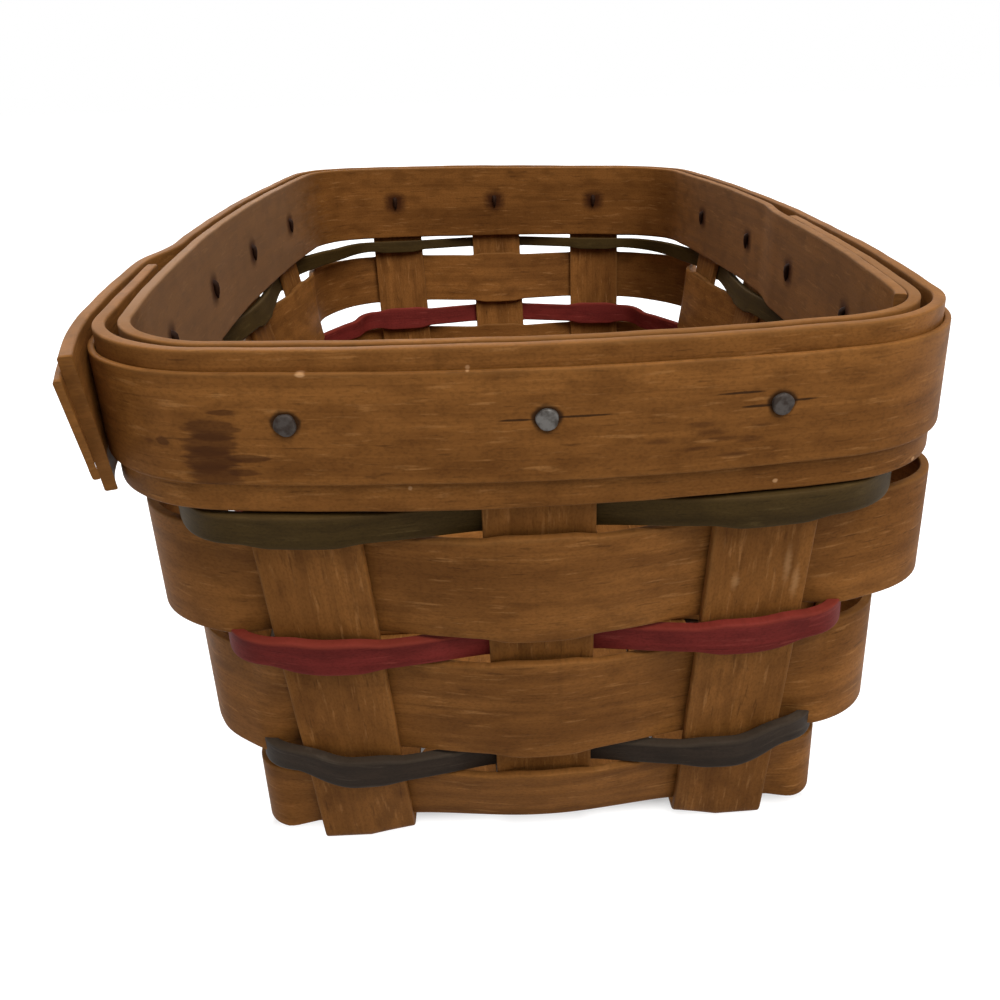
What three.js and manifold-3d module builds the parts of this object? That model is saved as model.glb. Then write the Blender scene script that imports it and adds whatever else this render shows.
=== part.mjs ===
// A rectangular basket woven from flat stained wood splints, with a lapped rim held by clinched tacks.
// Millimetres, +Z up. The basket stands on z = 0 and its front short end faces -Y.
import * as THREE from 'three';
import { mergeVertices } from 'three/addons/utils/BufferGeometryUtils.js';
import Module from 'manifold-3d';

// Plan of the rim, on the outer face of the outer band: eight tangent arcs
const RIM_HALF_WIDTH = 67.8;
const RIM_HALF_LENGTH = 113;
const SIDE_BOW_RADIUS = 724;
const END_BOW_RADIUS = 247;
const CORNER_RADIUS = 23.6;

// Splints of the base, which turn up to make the wall uprights
const SPLINT_WIDTH = 15.9;
const SPLINT_THICKNESS = 1.2;
const LENGTHWISE_COUNT = 3;
const LENGTHWISE_BASE_PITCH = 31;
const LENGTHWISE_RIM_PITCH = 33;
const CROSSWISE_COUNT = 4;
const CROSSWISE_BASE_PITCH = 41;
const CROSSWISE_RIM_PITCH = 42;
const BASE_BEND_RADIUS = 2;
const WALL_LEAN = 0.22;
const SPLINT_TOP_DROP = 2.6;
const BASE_FLAT_MARGIN = 0.3;

// Filler strips laid in the spaces between the lengthwise splints of the base
const FILLER_SIDE_GAP = 2.2;
const FILLER_END_INSET = 5;

// Weavers that run round the walls, lowest row first
const LOWEST_WEAVER_WIDTH = 13;
const NARROW_WEAVER_WIDTH = 4.8;
const LOWER_WIDE_WEAVER_WIDTH = 20;
const UPPER_WIDE_WEAVER_WIDTH = 18.2;
const NARROW_WEAVER_THICKNESS = 1.5;
const WIDE_WEAVER_THICKNESS = 1.2;
const WEAVER_FLAT_MARGIN = 1.2;
const WEAVER_END_INSET = 1;
const WEAVER_LAP_SPREAD = 1.1;

// At an upright a row spreads over the edges of its neighbours, which pass on the other face
const ROW_SPREAD = 0.7;
const ROW_SPREAD_FADE = 2.2;

// At a corner a row swells out beside the long wall and is drawn in beside the short wall
const CORNER_SKEW = 1.4;
const CORNER_LEAN_FADE = 2;
const LOWEST_SWELL = -1.8;
const NARROW_SWELL = -1.6;
const LOWER_WIDE_RIGHT_SWELL = 4;
const LOWER_WIDE_LEFT_SWELL = 2.8;
const UPPER_WIDE_RIGHT_SWELL = 6.2;
const UPPER_WIDE_LEFT_SWELL = 2.2;
const NARROW_DRAW = 5.5;
const TOP_NARROW_RIGHT_DRAW = 1.3;
const TOP_NARROW_LEFT_DRAW = 3.9;
const LOWER_WIDE_RIGHT_DRAW = 0.3;
const LOWER_WIDE_LEFT_DRAW = 2.3;
const UPPER_WIDE_DRAW = 0.6;
const BASE_BOW = 0.15;

// On the back wall the rows lie further apart: how far the lower and the upper edge of a row stand up from their level
const BACK_TOP_NARROW_LOW = 1.8;
const BACK_UPPER_WIDE_LOW = 3.4;
const BACK_MIDDLE_NARROW_LOW = 1.1;
const BACK_MIDDLE_NARROW_HIGH = 1.9;
const BACK_LOWER_WIDE_HIGH = 0.7;

// Rim bands
const OUTER_BAND_HEIGHT = 22.5;
const OUTER_BAND_THICKNESS = 1.6;
const INNER_BAND_HEIGHT = 21.7;
const INNER_BAND_THICKNESS = 1.6;
const TRIM_HEIGHT = 15.4;
const TRIM_THICKNESS = 0.8;
const TRIM_DROP = 2.75;
const OUTER_LAP_START = 50;
const OUTER_TAIL_SETBACK = 29;
const OUTER_TAIL_LENGTH = 21;
const TRIM_TAIL_LENGTH = 25.5;
const OUTER_TAIL_FREE_FROM = RIM_HALF_LENGTH - OUTER_TAIL_SETBACK;
const OUTER_LAP_END = OUTER_TAIL_FREE_FROM + OUTER_TAIL_LENGTH;
const TRIM_LAP_END = OUTER_TAIL_FREE_FROM + TRIM_TAIL_LENGTH;
const OUTER_TAIL_CURL = -0.011;
const OUTER_TAIL_SLANT = 0.42;
const TRIM_TAIL_SLANT = 0.27;
const OUTER_TAIL_FLARE = 0.13;
const OUTER_TAIL_FLARE_LENGTH = 25;
const INNER_LAP_START = 12;
const INNER_LAP_END = 96;
const LAP_RAMP = 20;
const LAP_RAMP_MARGIN = 3;

// Tacks
const TACK_DROP = 9.5;
const TACK_HEAD_RADIUS = 1.5;
const TACK_HEAD_THICKNESS = 0.7;
const TACK_SHANK_RADIUS = 0.7;
const TACK_TIP_RADIUS = 0.25;
const TACK_TIP_LENGTH = 3.2;
const TACK_SIDES = 8;
const FRONT_TACK_SHIFTS = [1, 1.2, -1.1];

// Clearances
const WEAVE_GAP = 0.3;
const BAND_GAP = 0.3;
const ROW_GAP = 0.4;
const FLOOR_CLEARANCE = 0.7;
const TACK_GAP = 0.3;

// A hand-made basket stands a little out of true
const RACK = 1.8;
const SKEW = 0.0275;
const TWIST = -0.0242;

// Between the outer lengthwise splints the foot of each short wall is arched up off the floor
const FOOT_ARCH_RISE = 2.5;
const FOOT_ARCH_HEIGHT = 20;
const FOOT_ARCH_FROM = 66;
const FOOT_ARCH_RAMP = 24;

// Facets
const CORNER_STEPS = 7;
const SIDE_STEPS = 8;
const END_STEPS = 6;
const BEND_STEPS = 4;
const WALL_STEPS = 3;
const WEAVE_STEPS = 10;
const WEAVE_CORNER_STEPS = 16;
const LAP_RAMP_STEPS = 3;
const TAIL_STEPS = 4;
const SECTION_SPACING = 1.2;

const STAINED_WOOD = { color: 0x8a5a2c, roughness: 0.62, metalness: 0 };
const GREEN_DYED_WOOD = { color: 0x3d3c2c, roughness: 0.66, metalness: 0 };
const RED_DYED_WOOD = { color: 0x6e2227, roughness: 0.62, metalness: 0 };
const BLUE_DYED_WOOD = { color: 0x33343a, roughness: 0.66, metalness: 0 };
const STEEL = { color: 0x77777a, roughness: 0.42, metalness: 1 };

const wasm = await Module();
wasm.setup();

const leanAngle = Math.atan(WALL_LEAN);
const halfSplint = SPLINT_WIDTH / 2;
const lowLevel = SPLINT_THICKNESS / 2;
const highLevel = lowLevel + SPLINT_THICKNESS + WEAVE_GAP;

// Rows stacked from the base up; the bands sit on top of the last row. Swells and draws are for the right corners,
// then the left ones
const rows = [
  {
    name: 'weaver_lowest_natural', look: STAINED_WOOD, evenSide: 1, lapUpright: 9,
    width: LOWEST_WEAVER_WIDTH, thickness: WIDE_WEAVER_THICKNESS,
    swell: [LOWEST_SWELL, LOWEST_SWELL], draw: [0, 0], backLift: [0, 0],
  },
  {
    name: 'weaver_lower_narrow_blue', look: BLUE_DYED_WOOD, evenSide: -1, lapUpright: 0,
    width: NARROW_WEAVER_WIDTH, thickness: NARROW_WEAVER_THICKNESS,
    swell: [NARROW_SWELL, NARROW_SWELL], draw: [NARROW_DRAW, NARROW_DRAW], backLift: [0, 0],
  },
  {
    name: 'weaver_lower_wide_natural', look: STAINED_WOOD, evenSide: 1, lapUpright: 1,
    width: LOWER_WIDE_WEAVER_WIDTH, thickness: WIDE_WEAVER_THICKNESS,
    swell: [LOWER_WIDE_RIGHT_SWELL, LOWER_WIDE_LEFT_SWELL], draw: [LOWER_WIDE_RIGHT_DRAW, LOWER_WIDE_LEFT_DRAW],
    backLift: [0, BACK_LOWER_WIDE_HIGH],
  },
  {
    name: 'weaver_middle_narrow_red', look: RED_DYED_WOOD, evenSide: -1, lapUpright: 10,
    width: NARROW_WEAVER_WIDTH, thickness: NARROW_WEAVER_THICKNESS,
    swell: [NARROW_SWELL, NARROW_SWELL], draw: [NARROW_DRAW, NARROW_DRAW],
    backLift: [BACK_MIDDLE_NARROW_LOW, BACK_MIDDLE_NARROW_HIGH],
  },
  {
    name: 'weaver_upper_wide_natural', look: STAINED_WOOD, evenSide: 1, lapUpright: 9,
    width: UPPER_WIDE_WEAVER_WIDTH, thickness: WIDE_WEAVER_THICKNESS,
    swell: [UPPER_WIDE_RIGHT_SWELL, UPPER_WIDE_LEFT_SWELL], draw: [UPPER_WIDE_DRAW, UPPER_WIDE_DRAW],
    backLift: [BACK_UPPER_WIDE_LOW, 0],
  },
  {
    name: 'weaver_top_narrow_green', look: GREEN_DYED_WOOD, evenSide: -1, lapUpright: 0,
    width: NARROW_WEAVER_WIDTH, thickness: NARROW_WEAVER_THICKNESS,
    swell: [NARROW_SWELL, NARROW_SWELL], draw: [TOP_NARROW_RIGHT_DRAW, TOP_NARROW_LEFT_DRAW],
    backLift: [BACK_TOP_NARROW_LOW, 0],
  },
];
let rowLevel = highLevel + SPLINT_THICKNESS / 2 + FLOOR_CLEARANCE;
for (const row of rows) {
  row.middle = rowLevel + row.width / 2;
  rowLevel += row.width + ROW_GAP;
}
const bandBottom = rowLevel;
const rimTop = bandBottom + Math.max(OUTER_BAND_HEIGHT, INNER_BAND_HEIGHT);

// Distance of the wall's middle surface from the rim outline at height z
const uprightOffset = -(OUTER_BAND_THICKNESS + BAND_GAP + SPLINT_THICKNESS / 2);
const wallOffset = (z) => uprightOffset - WALL_LEAN * Math.max(0, bandBottom - z);

// Walls in counter-clockwise order from above: right, back, left, front
const [RIGHT, BACK, LEFT, FRONT] = [0, 1, 2, 3];
const quarter = Math.PI / 2;
const compass = (angle) => new THREE.Vector3(Math.cos(angle), Math.sin(angle), 0);
const wallIsSide = (wall) => wall % 2 === RIGHT;

// Plan of eight tangent arcs, set in or out from the rim outline, its walls bowed by a share of the rim's bow.
// A corner arc's centre lies one corner radius inside both the side arc and the end arc.
function makePlan(offset, bow) {
  const corner = CORNER_RADIUS + offset;
  const radii = [SIDE_BOW_RADIUS / bow, END_BOW_RADIUS / bow];
  const centres = [RIM_HALF_WIDTH + offset - radii[0], RIM_HALF_LENGTH + offset - radii[1]];
  const reach = radii.map((r) => r - corner);
  const centreGap = Math.hypot(...centres);
  const reachAlong = (reach[0] ** 2 - reach[1] ** 2 + centreGap ** 2) / (2 * centreGap);
  const reachAcross = Math.sqrt(reach[0] ** 2 - reachAlong ** 2);
  const cornerX = centres[0] - (centres[0] * reachAlong + centres[1] * reachAcross) / centreGap;
  const cornerY = (centres[1] * reachAlong - centres[0] * reachAcross) / centreGap;
  const halfAngles = [Math.atan2(cornerY, cornerX - centres[0]), Math.atan2(cornerX, cornerY - centres[1])];
  const arcs = [];
  let length = 0;
  const addArc = (centre, radius, from, to, steps) => {
    arcs.push({ centre, radius, from, to, steps, start: length, length: radius * (to - from) });
    length += radius * (to - from);
  };
  for (let wall = 0; wall < 4; wall += 1) {
    const middle = wall * quarter;
    const half = halfAngles[wall % 2];
    const nextHalf = halfAngles[(wall + 1) % 2];
    const centre = compass(middle).multiplyScalar(centres[wall % 2]);
    addArc(centre, radii[wall % 2], middle - half, middle + half, wallIsSide(wall) ? SIDE_STEPS : END_STEPS);
    const signX = wall === RIGHT || wall === FRONT ? 1 : -1;
    const signY = wall === RIGHT || wall === BACK ? 1 : -1;
    const cornerCentre = new THREE.Vector3(signX * cornerX, signY * cornerY, 0);
    addArc(cornerCentre, corner, middle + half, middle + quarter - nextHalf, CORNER_STEPS);
  }
  // Point on a wall, a distance v along it
  const wallPoint = (wall, v) => {
    const radius = radii[wall % 2];
    const angle = wall * quarter + Math.asin(v / radius);
    const centre = compass(wall * quarter).multiplyScalar(centres[wall % 2]);
    return {
      point: centre.addScaledVector(compass(angle), radius),
      normal: compass(angle),
      tangent: compass(angle + quarter),
    };
  };
  // Distance round the plan to a point on a wall, a distance v along it
  const wallDistance = (wall, v) => arcs[2 * wall].start
    + radii[wall % 2] * (Math.asin(v / radii[wall % 2]) + halfAngles[wall % 2]);
  // Point and outward normal at a distance s round the plan
  const at = (s) => {
    const local = ((s % length) + length) % length;
    const arc = arcs.find((a) => local <= a.start + a.length) ?? arcs[arcs.length - 1];
    const angle = arc.from + (local - arc.start) / arc.radius;
    return { point: arc.centre.clone().addScaledVector(compass(angle), arc.radius), normal: compass(angle) };
  };
  return { arcs, length, wallPoint, wallDistance, at };
}

const rim = makePlan(0, 1);
const rimLength = rim.length;

// Plan of the wall's middle surface at height z, bowed less towards the base
const heightShare = (z) => share(z, 0, bandBottom);
const wallPlan = (z) => makePlan(wallOffset(z), BASE_BOW + (1 - BASE_BOW) * heightShare(z));

// A closed solid through a run of four-cornered sections
function loft(sections) {
  const sides = sections[0].length;
  const positions = sections.flat().flatMap((p) => [p.x, p.y, p.z]);
  const faces = [];
  for (let i = 0; i + 1 < sections.length; i += 1) {
    for (let j = 0; j < sides; j += 1) {
      const a = i * sides + j;
      const b = i * sides + ((j + 1) % sides);
      faces.push(a, b, b + sides, a, b + sides, a + sides);
    }
  }
  const last = (sections.length - 1) * sides;
  for (let j = 1; j + 1 < sides; j += 1) {
    faces.push(0, j + 1, j, last, last + j, last + j + 1);
  }
  const geometry = new THREE.BufferGeometry();
  geometry.setAttribute('position', new THREE.Float32BufferAttribute(positions, 3));
  geometry.setIndex(faces);
  return turnOutward(geometry);
}

// Faces all turned outward, told by the sign of the enclosed volume
function turnOutward(geometry) {
  const p = geometry.attributes.position;
  const index = geometry.index.array;
  const corner = (i) => new THREE.Vector3().fromBufferAttribute(p, i);
  let volume = 0;
  for (let i = 0; i < index.length; i += 3) {
    volume += corner(index[i]).dot(corner(index[i + 1]).cross(corner(index[i + 2])));
  }
  if (volume < 0) {
    for (let i = 0; i < index.length; i += 3) {
      [index[i + 1], index[i + 2]] = [index[i + 2], index[i + 1]];
    }
  }
  return geometry;
}

// Four corners of a flat strip round a middle point
function stripSection(middle, widthways, halfWidth, thicknessways, halfThickness) {
  const corner = (a, b) => middle.clone()
    .addScaledVector(widthways, a * halfWidth)
    .addScaledVector(thicknessways, b * halfThickness);
  return [corner(1, 1), corner(-1, 1), corner(-1, -1), corner(1, -1)];
}

const clamp = (t) => Math.min(1, Math.max(0, t));
const share = (value, from, to) => clamp((value - from) / (to - from));
const smooth = (t) => {
  const k = clamp(t);
  return k * k * (3 - 2 * k);
};

// Places of a set of equal splints either side of the middle, counted in pitches
const spread = (count) => Array.from({ length: count }, (_, i) => i - (count - 1) / 2);
const lengthwisePlaces = spread(LENGTHWISE_COUNT);
const crosswisePlaces = spread(CROSSWISE_COUNT);
const pitchAt = (wall, z) => (wallIsSide(wall)
  ? CROSSWISE_BASE_PITCH + (CROSSWISE_RIM_PITCH - CROSSWISE_BASE_PITCH) * heightShare(z)
  : LENGTHWISE_BASE_PITCH + (LENGTHWISE_RIM_PITCH - LENGTHWISE_BASE_PITCH) * heightShare(z));

// Uprights in counter-clockwise order, each at its place along its wall
const uprights = [RIGHT, BACK, LEFT, FRONT].flatMap((wall) => (wallIsSide(wall) ? crosswisePlaces : lengthwisePlaces)
  .map((place) => ({ wall, place })));
const uprightAt = ({ wall, place }, z) => wallPlan(z).wallPoint(wall, place * pitchAt(wall, z));

// Angle at which an upright leans out of vertical below the bands
function uprightLean(upright) {
  const foot = uprightAt(upright, 0);
  const head = uprightAt(upright, bandBottom);
  return Math.atan(head.point.sub(foot.point).dot(head.normal.add(foot.normal)) / (2 * bandBottom));
}

// One turned-up end of a splint, from its top down to the flat of the base
function splintEnd(upright, top) {
  const axis = compass(upright.wall * quarter);
  const along = compass((upright.wall + 1) * quarter);
  const reach = (z) => uprightAt(upright, z).point.dot(axis);
  const foot = reach(0);
  const slope = (reach(bandBottom) - foot) / bandBottom;
  const turn = Math.atan2(1, slope);
  const bendReach = foot + slope * lowLevel - BASE_BEND_RADIUS * Math.tan(turn / 2);
  const bendHeight = lowLevel + BASE_BEND_RADIUS;
  const section = (q, z, lift) => {
    const { point, tangent } = uprightAt(upright, z);
    const down = axis.clone().multiplyScalar(-Math.cos(lift)).setZ(-Math.sin(lift));
    return {
      middle: along.clone().multiplyScalar(point.dot(along)).addScaledVector(axis, q).setZ(z),
      widthways: tangent,
      thicknessways: down.cross(tangent).normalize(),
    };
  };
  const sections = [
    section(reach(top), top, quarter),
    section(reach(bandBottom), bandBottom, (quarter + turn) / 2),
  ];
  for (let i = WALL_STEPS - 1; i > 0; i -= 1) {
    const z = (bandBottom * i) / WALL_STEPS;
    sections.push(section(reach(z), z, turn));
  }
  for (let i = BEND_STEPS; i >= 0; i -= 1) {
    const lift = (turn * i) / BEND_STEPS;
    const q = bendReach + BASE_BEND_RADIUS * Math.sin(lift);
    sections.push(section(q, bendHeight - BASE_BEND_RADIUS * Math.cos(lift), lift));
  }
  return sections;
}

// A strip's sections across the base, level where it goes over or under each crossing strip
function baseSections(axis, line, along, crossings) {
  return crossings.flatMap(({ at, level, half }) => [half + BASE_FLAT_MARGIN, -half - BASE_FLAT_MARGIN]
    .map((edge) => ({
      middle: line.clone().addScaledVector(axis, at + edge).setZ(level),
      widthways: along,
      thicknessways: new THREE.Vector3(0, 0, -1),
    })));
}

// A splint that runs down one wall, across the base over and under its crossings, and up the opposite wall
function splint(wall, place, crossings) {
  const top = rimTop - SPLINT_TOP_DROP;
  const axis = compass(wall * quarter);
  const along = compass((wall + 1) * quarter);
  const near = splintEnd({ wall, place }, top);
  const far = splintEnd({ wall: wall + 2, place: -place }, top).reverse();
  for (const s of far) {
    s.widthways.negate();
  }
  const base = baseSections(axis, along.clone().multiplyScalar(place * pitchAt(wall, 0)), along, crossings);
  return loft([...near, ...base, ...far].map((s) => stripSection(
    s.middle, s.widthways, halfSplint, s.thicknessways, SPLINT_THICKNESS / 2)));
}

// A weaver: one strip round the wall that waves outside and inside the uprights in turn, its ends lapped behind one
// upright
function weaver(row) {
  const plan = wallPlan(row.middle);
  const sway = ((SPLINT_THICKNESS + row.thickness) / 2 + WEAVE_GAP) / Math.cos(leanAngle);
  const lapStep = (WEAVER_LAP_SPREAD * (row.thickness + WEAVE_GAP)) / Math.cos(leanAngle);
  const flat = halfSplint + WEAVER_FLAT_MARGIN;
  const tucked = halfSplint - WEAVER_END_INSET;
  const count = uprights.length;
  const spreadsDown = row !== rows[0];
  const spreadsUp = row !== rows[rows.length - 1];
  const passes = Array.from({ length: count + 1 }, (_, i) => {
    const k = (row.lapUpright + i) % count;
    const { wall, place } = uprights[k];
    const pitch = pitchAt(wall, row.middle);
    const swing = sway / Math.cos((Math.PI * (halfSplint + WEAVE_GAP)) / pitch);
    const turned = row.lapUpright + i >= count ? plan.length : 0;
    return {
      wall,
      s: plan.wallDistance(wall, place * pitch) + turned,
      depth: (k % 2 === 0 ? row.evenSide : -row.evenSide) * swing - (i === count ? lapStep : 0),
      lean: uprightLean(uprights[k]),
    };
  });
  const hump = (t) => Math.sin(Math.PI * t ** CORNER_SKEW) ** 2;
  const sections = [];
  const add = (a, b, s) => {
    const t = share(s, a.s, b.s);
    let depth = a.depth + (b.depth - a.depth) * (1 - Math.cos(Math.PI * t)) / 2;
    let lean = a.lean + (b.lean - a.lean) * t;
    if (a.wall !== b.wall) {
      const across = share(s, a.s + flat, b.s - flat);
      const towardsSide = wallIsSide(a.wall) ? 1 - across : across;
      const hand = a.wall === BACK || a.wall === LEFT ? 1 : 0;
      depth += row.swell[hand] * hump(towardsSide) - row.draw[hand] * hump(1 - towardsSide);
      lean *= Math.max(0, 1 - CORNER_LEAN_FADE * Math.sin(Math.PI * across));
    }
    const nearest = Math.min(Math.abs(s - a.s), Math.abs(b.s - s));
    const spreading = ROW_SPREAD * smooth((flat - nearest) / ROW_SPREAD_FADE);
    const onBack = smooth((a.wall === BACK ? 1 - t : 0) + (b.wall === BACK ? t : 0));
    const low = row.backLift[0] * onBack - row.width / 2 - (spreadsDown ? spreading : 0);
    const high = row.backLift[1] * onBack + row.width / 2 + (spreadsUp ? spreading : 0);
    const { point, normal } = plan.at(s);
    const up = normal.clone().multiplyScalar(Math.sin(lean)).setZ(Math.cos(lean));
    const out = normal.clone().multiplyScalar(Math.cos(lean)).setZ(-Math.sin(lean));
    const middle = point.addScaledVector(normal, depth).setZ(row.middle).addScaledVector(up, (low + high) / 2);
    sections.push(stripSection(middle, up, (high - low) / 2, out, row.thickness / 2));
  };
  add(passes[0], passes[1], passes[0].s - tucked);
  for (let i = 0; i < count; i += 1) {
    const [a, b] = [passes[i], passes[i + 1]];
    const steps = a.wall === b.wall ? WEAVE_STEPS : WEAVE_CORNER_STEPS;
    for (let step = 0; step < steps; step += 1) {
      add(a, b, a.s + ((b.s - a.s) * step) / steps);
    }
  }
  add(passes[count - 1], passes[count], passes[count].s);
  add(passes[count - 1], passes[count], passes[count].s + tucked);
  return loft(sections);
}

// A rim band: one strip round the rim whose tail laps over its own start. Its run is measured from the middle of one
// long wall towards the front; past freeFrom on the second turn it no longer follows the rim
function band({ start, end, offset, lapShift, bottom, top, thickness, fromWall, freeFrom, curl, slant, flare }) {
  const travel = fromWall === LEFT ? 1 : -1;
  const middle = rim.arcs[2 * fromWall];
  const zero = middle.start + middle.length / 2;
  const rampStart = rimLength + start - LAP_RAMP_MARGIN - LAP_RAMP;
  const free = rimLength + freeFrom;
  const last = rimLength + end;
  const facets = rim.arcs.flatMap((arc) => Array.from({ length: arc.steps }, (_, i) => (
    (arc.start + (arc.length * i) / arc.steps - zero) * travel)));
  const ramp = Array.from({ length: LAP_RAMP_STEPS + 1 }, (_, i) => rampStart + (LAP_RAMP * i) / LAP_RAMP_STEPS);
  const turns = [-1, 0, 1, 2].flatMap((turn) => facets.map((run) => run + turn * rimLength));
  const between = [...turns, ...ramp]
    .filter((run) => run > start + SECTION_SPACING && run < free - SECTION_SPACING)
    .sort((p, q) => p - q)
    .filter((run, i, list) => i === 0 || run - list[i - 1] > SECTION_SPACING);
  const tail = Array.from({ length: last > free ? TAIL_STEPS : 0 }, (_, i) => (
    free + ((last - free) * (i + 1)) / TAIL_STEPS));
  const runs = [start, ...between, free, ...tail];
  const sections = runs.map((run, i) => {
    const out = offset + lapShift * smooth((run - rampStart) / LAP_RAMP);
    const { point, normal } = rim.at(zero + travel * Math.min(run, free));
    const beyond = Math.max(0, run - free);
    const forward = new THREE.Vector3(-normal.y, normal.x, 0).multiplyScalar(travel);
    const lean = curl * beyond;
    const place = point.addScaledVector(normal, out + (curl * beyond * beyond) / 2)
      .addScaledVector(forward, beyond).setZ((bottom + top) / 2);
    const heading = forward.clone().multiplyScalar(Math.cos(lean)).addScaledVector(normal, Math.sin(lean));
    const facing = normal.clone().multiplyScalar(Math.cos(lean)).addScaledVector(forward, -Math.sin(lean));
    const upward = heading.multiplyScalar(i === runs.length - 1 ? slant : 0)
      .addScaledVector(facing, flare * (beyond / OUTER_TAIL_FLARE_LENGTH) ** 3).setZ(1);
    return stripSection(place, upward, (top - bottom) / 2, facing, thickness / 2);
  });
  return loft(sections);
}

const outerShift = OUTER_BAND_THICKNESS + TRIM_THICKNESS + 2 * BAND_GAP;
const innerShift = INNER_BAND_THICKNESS + BAND_GAP;
const trimOffset = BAND_GAP + TRIM_THICKNESS / 2;
const innerOffset = uprightOffset - SPLINT_THICKNESS / 2 - BAND_GAP - INNER_BAND_THICKNESS / 2;

const outerRun = {
  start: OUTER_LAP_START,
  end: OUTER_LAP_END,
  lapShift: outerShift,
  fromWall: LEFT,
  freeFrom: OUTER_TAIL_FREE_FROM,
  curl: OUTER_TAIL_CURL,
  slant: OUTER_TAIL_SLANT,
  flare: OUTER_TAIL_FLARE,
};
const outerBand = band({
  ...outerRun,
  offset: -OUTER_BAND_THICKNESS / 2,
  bottom: rimTop - OUTER_BAND_HEIGHT,
  top: rimTop,
  thickness: OUTER_BAND_THICKNESS,
});
const trimStrip = band({
  ...outerRun,
  end: TRIM_LAP_END,
  slant: TRIM_TAIL_SLANT,
  offset: trimOffset,
  bottom: rimTop - TRIM_DROP - TRIM_HEIGHT,
  top: rimTop - TRIM_DROP,
  thickness: TRIM_THICKNESS,
});
const innerBand = band({
  start: INNER_LAP_START,
  end: INNER_LAP_END,
  lapShift: -innerShift,
  fromWall: RIGHT,
  freeFrom: INNER_LAP_END,
  curl: 0,
  slant: 0,
  flare: 0,
  offset: innerOffset,
  bottom: rimTop - INNER_BAND_HEIGHT,
  top: rimTop,
  thickness: INNER_BAND_THICKNESS,
});

// Tacks: head outside, shank through every layer at an upright, point turned down flat inside
function tackFrame(k) {
  const { wall, place } = uprights[k];
  const { point, normal, tangent } = uprightAt(uprights[k], rimTop);
  const v = place * pitchAt(wall, rimTop);
  const shift = wall === FRONT ? FRONT_TACK_SHIFTS[lengthwisePlaces.indexOf(place)] : 0;
  const overOuterLap = wall === LEFT && v > OUTER_LAP_START;
  const overInnerLap = wall === RIGHT && v < -INNER_LAP_START;
  const outFace = trimOffset + TRIM_THICKNESS / 2 + (overOuterLap ? outerShift : 0) - uprightOffset;
  const inFace = innerOffset - INNER_BAND_THICKNESS / 2 - (overInnerLap ? innerShift : 0) - uprightOffset;
  const seat = point.addScaledVector(tangent, shift).setZ(rimTop - TACK_DROP);
  return { seat, normal, tangent, outFace, inFace };
}

function ring(centre, across, up, radius) {
  return Array.from({ length: TACK_SIDES }, (_, i) => {
    const angle = (2 * Math.PI * (i + 0.5)) / TACK_SIDES;
    return centre.clone()
      .addScaledVector(across, radius * Math.cos(angle))
      .addScaledVector(up, radius * Math.sin(angle));
  });
}

function tack(k) {
  const { seat, normal, tangent, outFace, inFace } = tackFrame(k);
  const up = new THREE.Vector3(0, 0, 1);
  const at = (depth, drop = 0) => seat.clone().addScaledVector(normal, depth).addScaledVector(up, -drop);
  const headBack = outFace + TACK_GAP;
  const turnDepth = inFace - TACK_GAP - TACK_SHANK_RADIUS;
  const slant = up.clone().sub(normal).normalize();
  return loft([
    ring(at(headBack + TACK_HEAD_THICKNESS), tangent, up, TACK_HEAD_RADIUS),
    ring(at(headBack), tangent, up, TACK_HEAD_RADIUS),
    ring(at(headBack), tangent, up, TACK_SHANK_RADIUS),
    ring(at(turnDepth), tangent, slant, TACK_SHANK_RADIUS),
    ring(at(turnDepth, TACK_TIP_LENGTH), tangent, normal.clone().negate(), TACK_TIP_RADIUS),
  ]);
}

function tackHole(k) {
  const { seat, normal, tangent, outFace, inFace } = tackFrame(k);
  const up = new THREE.Vector3(0, 0, 1);
  const radius = (TACK_SHANK_RADIUS + TACK_GAP) / Math.cos(Math.PI / TACK_SIDES);
  const at = (depth) => seat.clone().addScaledVector(normal, depth);
  return loft([
    ring(at(outFace + TACK_GAP), tangent, up, radius),
    ring(at(inFace - TACK_GAP), tangent, up, radius),
  ]);
}

// Solid subtraction
function toSolid(geometry) {
  const merged = mergeVertices(geometry, 1e-4);
  return new wasm.Manifold(new wasm.Mesh({
    numProp: 3,
    vertProperties: new Float32Array(merged.attributes.position.array),
    triVerts: new Uint32Array(merged.index.array),
  }));
}

function drill(geometry, holes) {
  let solid = toSolid(geometry);
  for (const k of holes) {
    solid = solid.subtract(toSolid(tackHole(k)));
  }
  const mesh = solid.getMesh();
  const drilled = new THREE.BufferGeometry();
  drilled.setAttribute('position', new THREE.Float32BufferAttribute(mesh.vertProperties, 3));
  drilled.setIndex(Array.from(mesh.triVerts));
  return drilled;
}

// Lift of a point in the arched foot of a short wall
function footArch(x, y, z) {
  const across = Math.max(0, 1 - (x / LENGTHWISE_BASE_PITCH) ** 2);
  const low = Math.max(0, 1 - z / FOOT_ARCH_HEIGHT);
  return FOOT_ARCH_RISE * across * low * low * smooth((Math.abs(y) - FOOT_ARCH_FROM) / FOOT_ARCH_RAMP);
}

// The lean of the whole basket out of true; the rest of the floor plane stays flat
function outOfTrue(geometry) {
  const p = geometry.attributes.position;
  for (let i = 0; i < p.count; i += 1) {
    const x = p.getX(i);
    const y = p.getY(i);
    const z = p.getZ(i) + footArch(x, y, p.getZ(i));
    const rise = (TWIST * x * (y + RIM_HALF_LENGTH)) / (2 * RIM_HALF_LENGTH);
    p.setXYZ(i, x + RACK * (1 - z / rimTop), y + SKEW * x, z * (1 + rise / rimTop));
  }
  return geometry;
}

const basket = new THREE.Group();
basket.name = 'cracker_basket';

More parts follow.
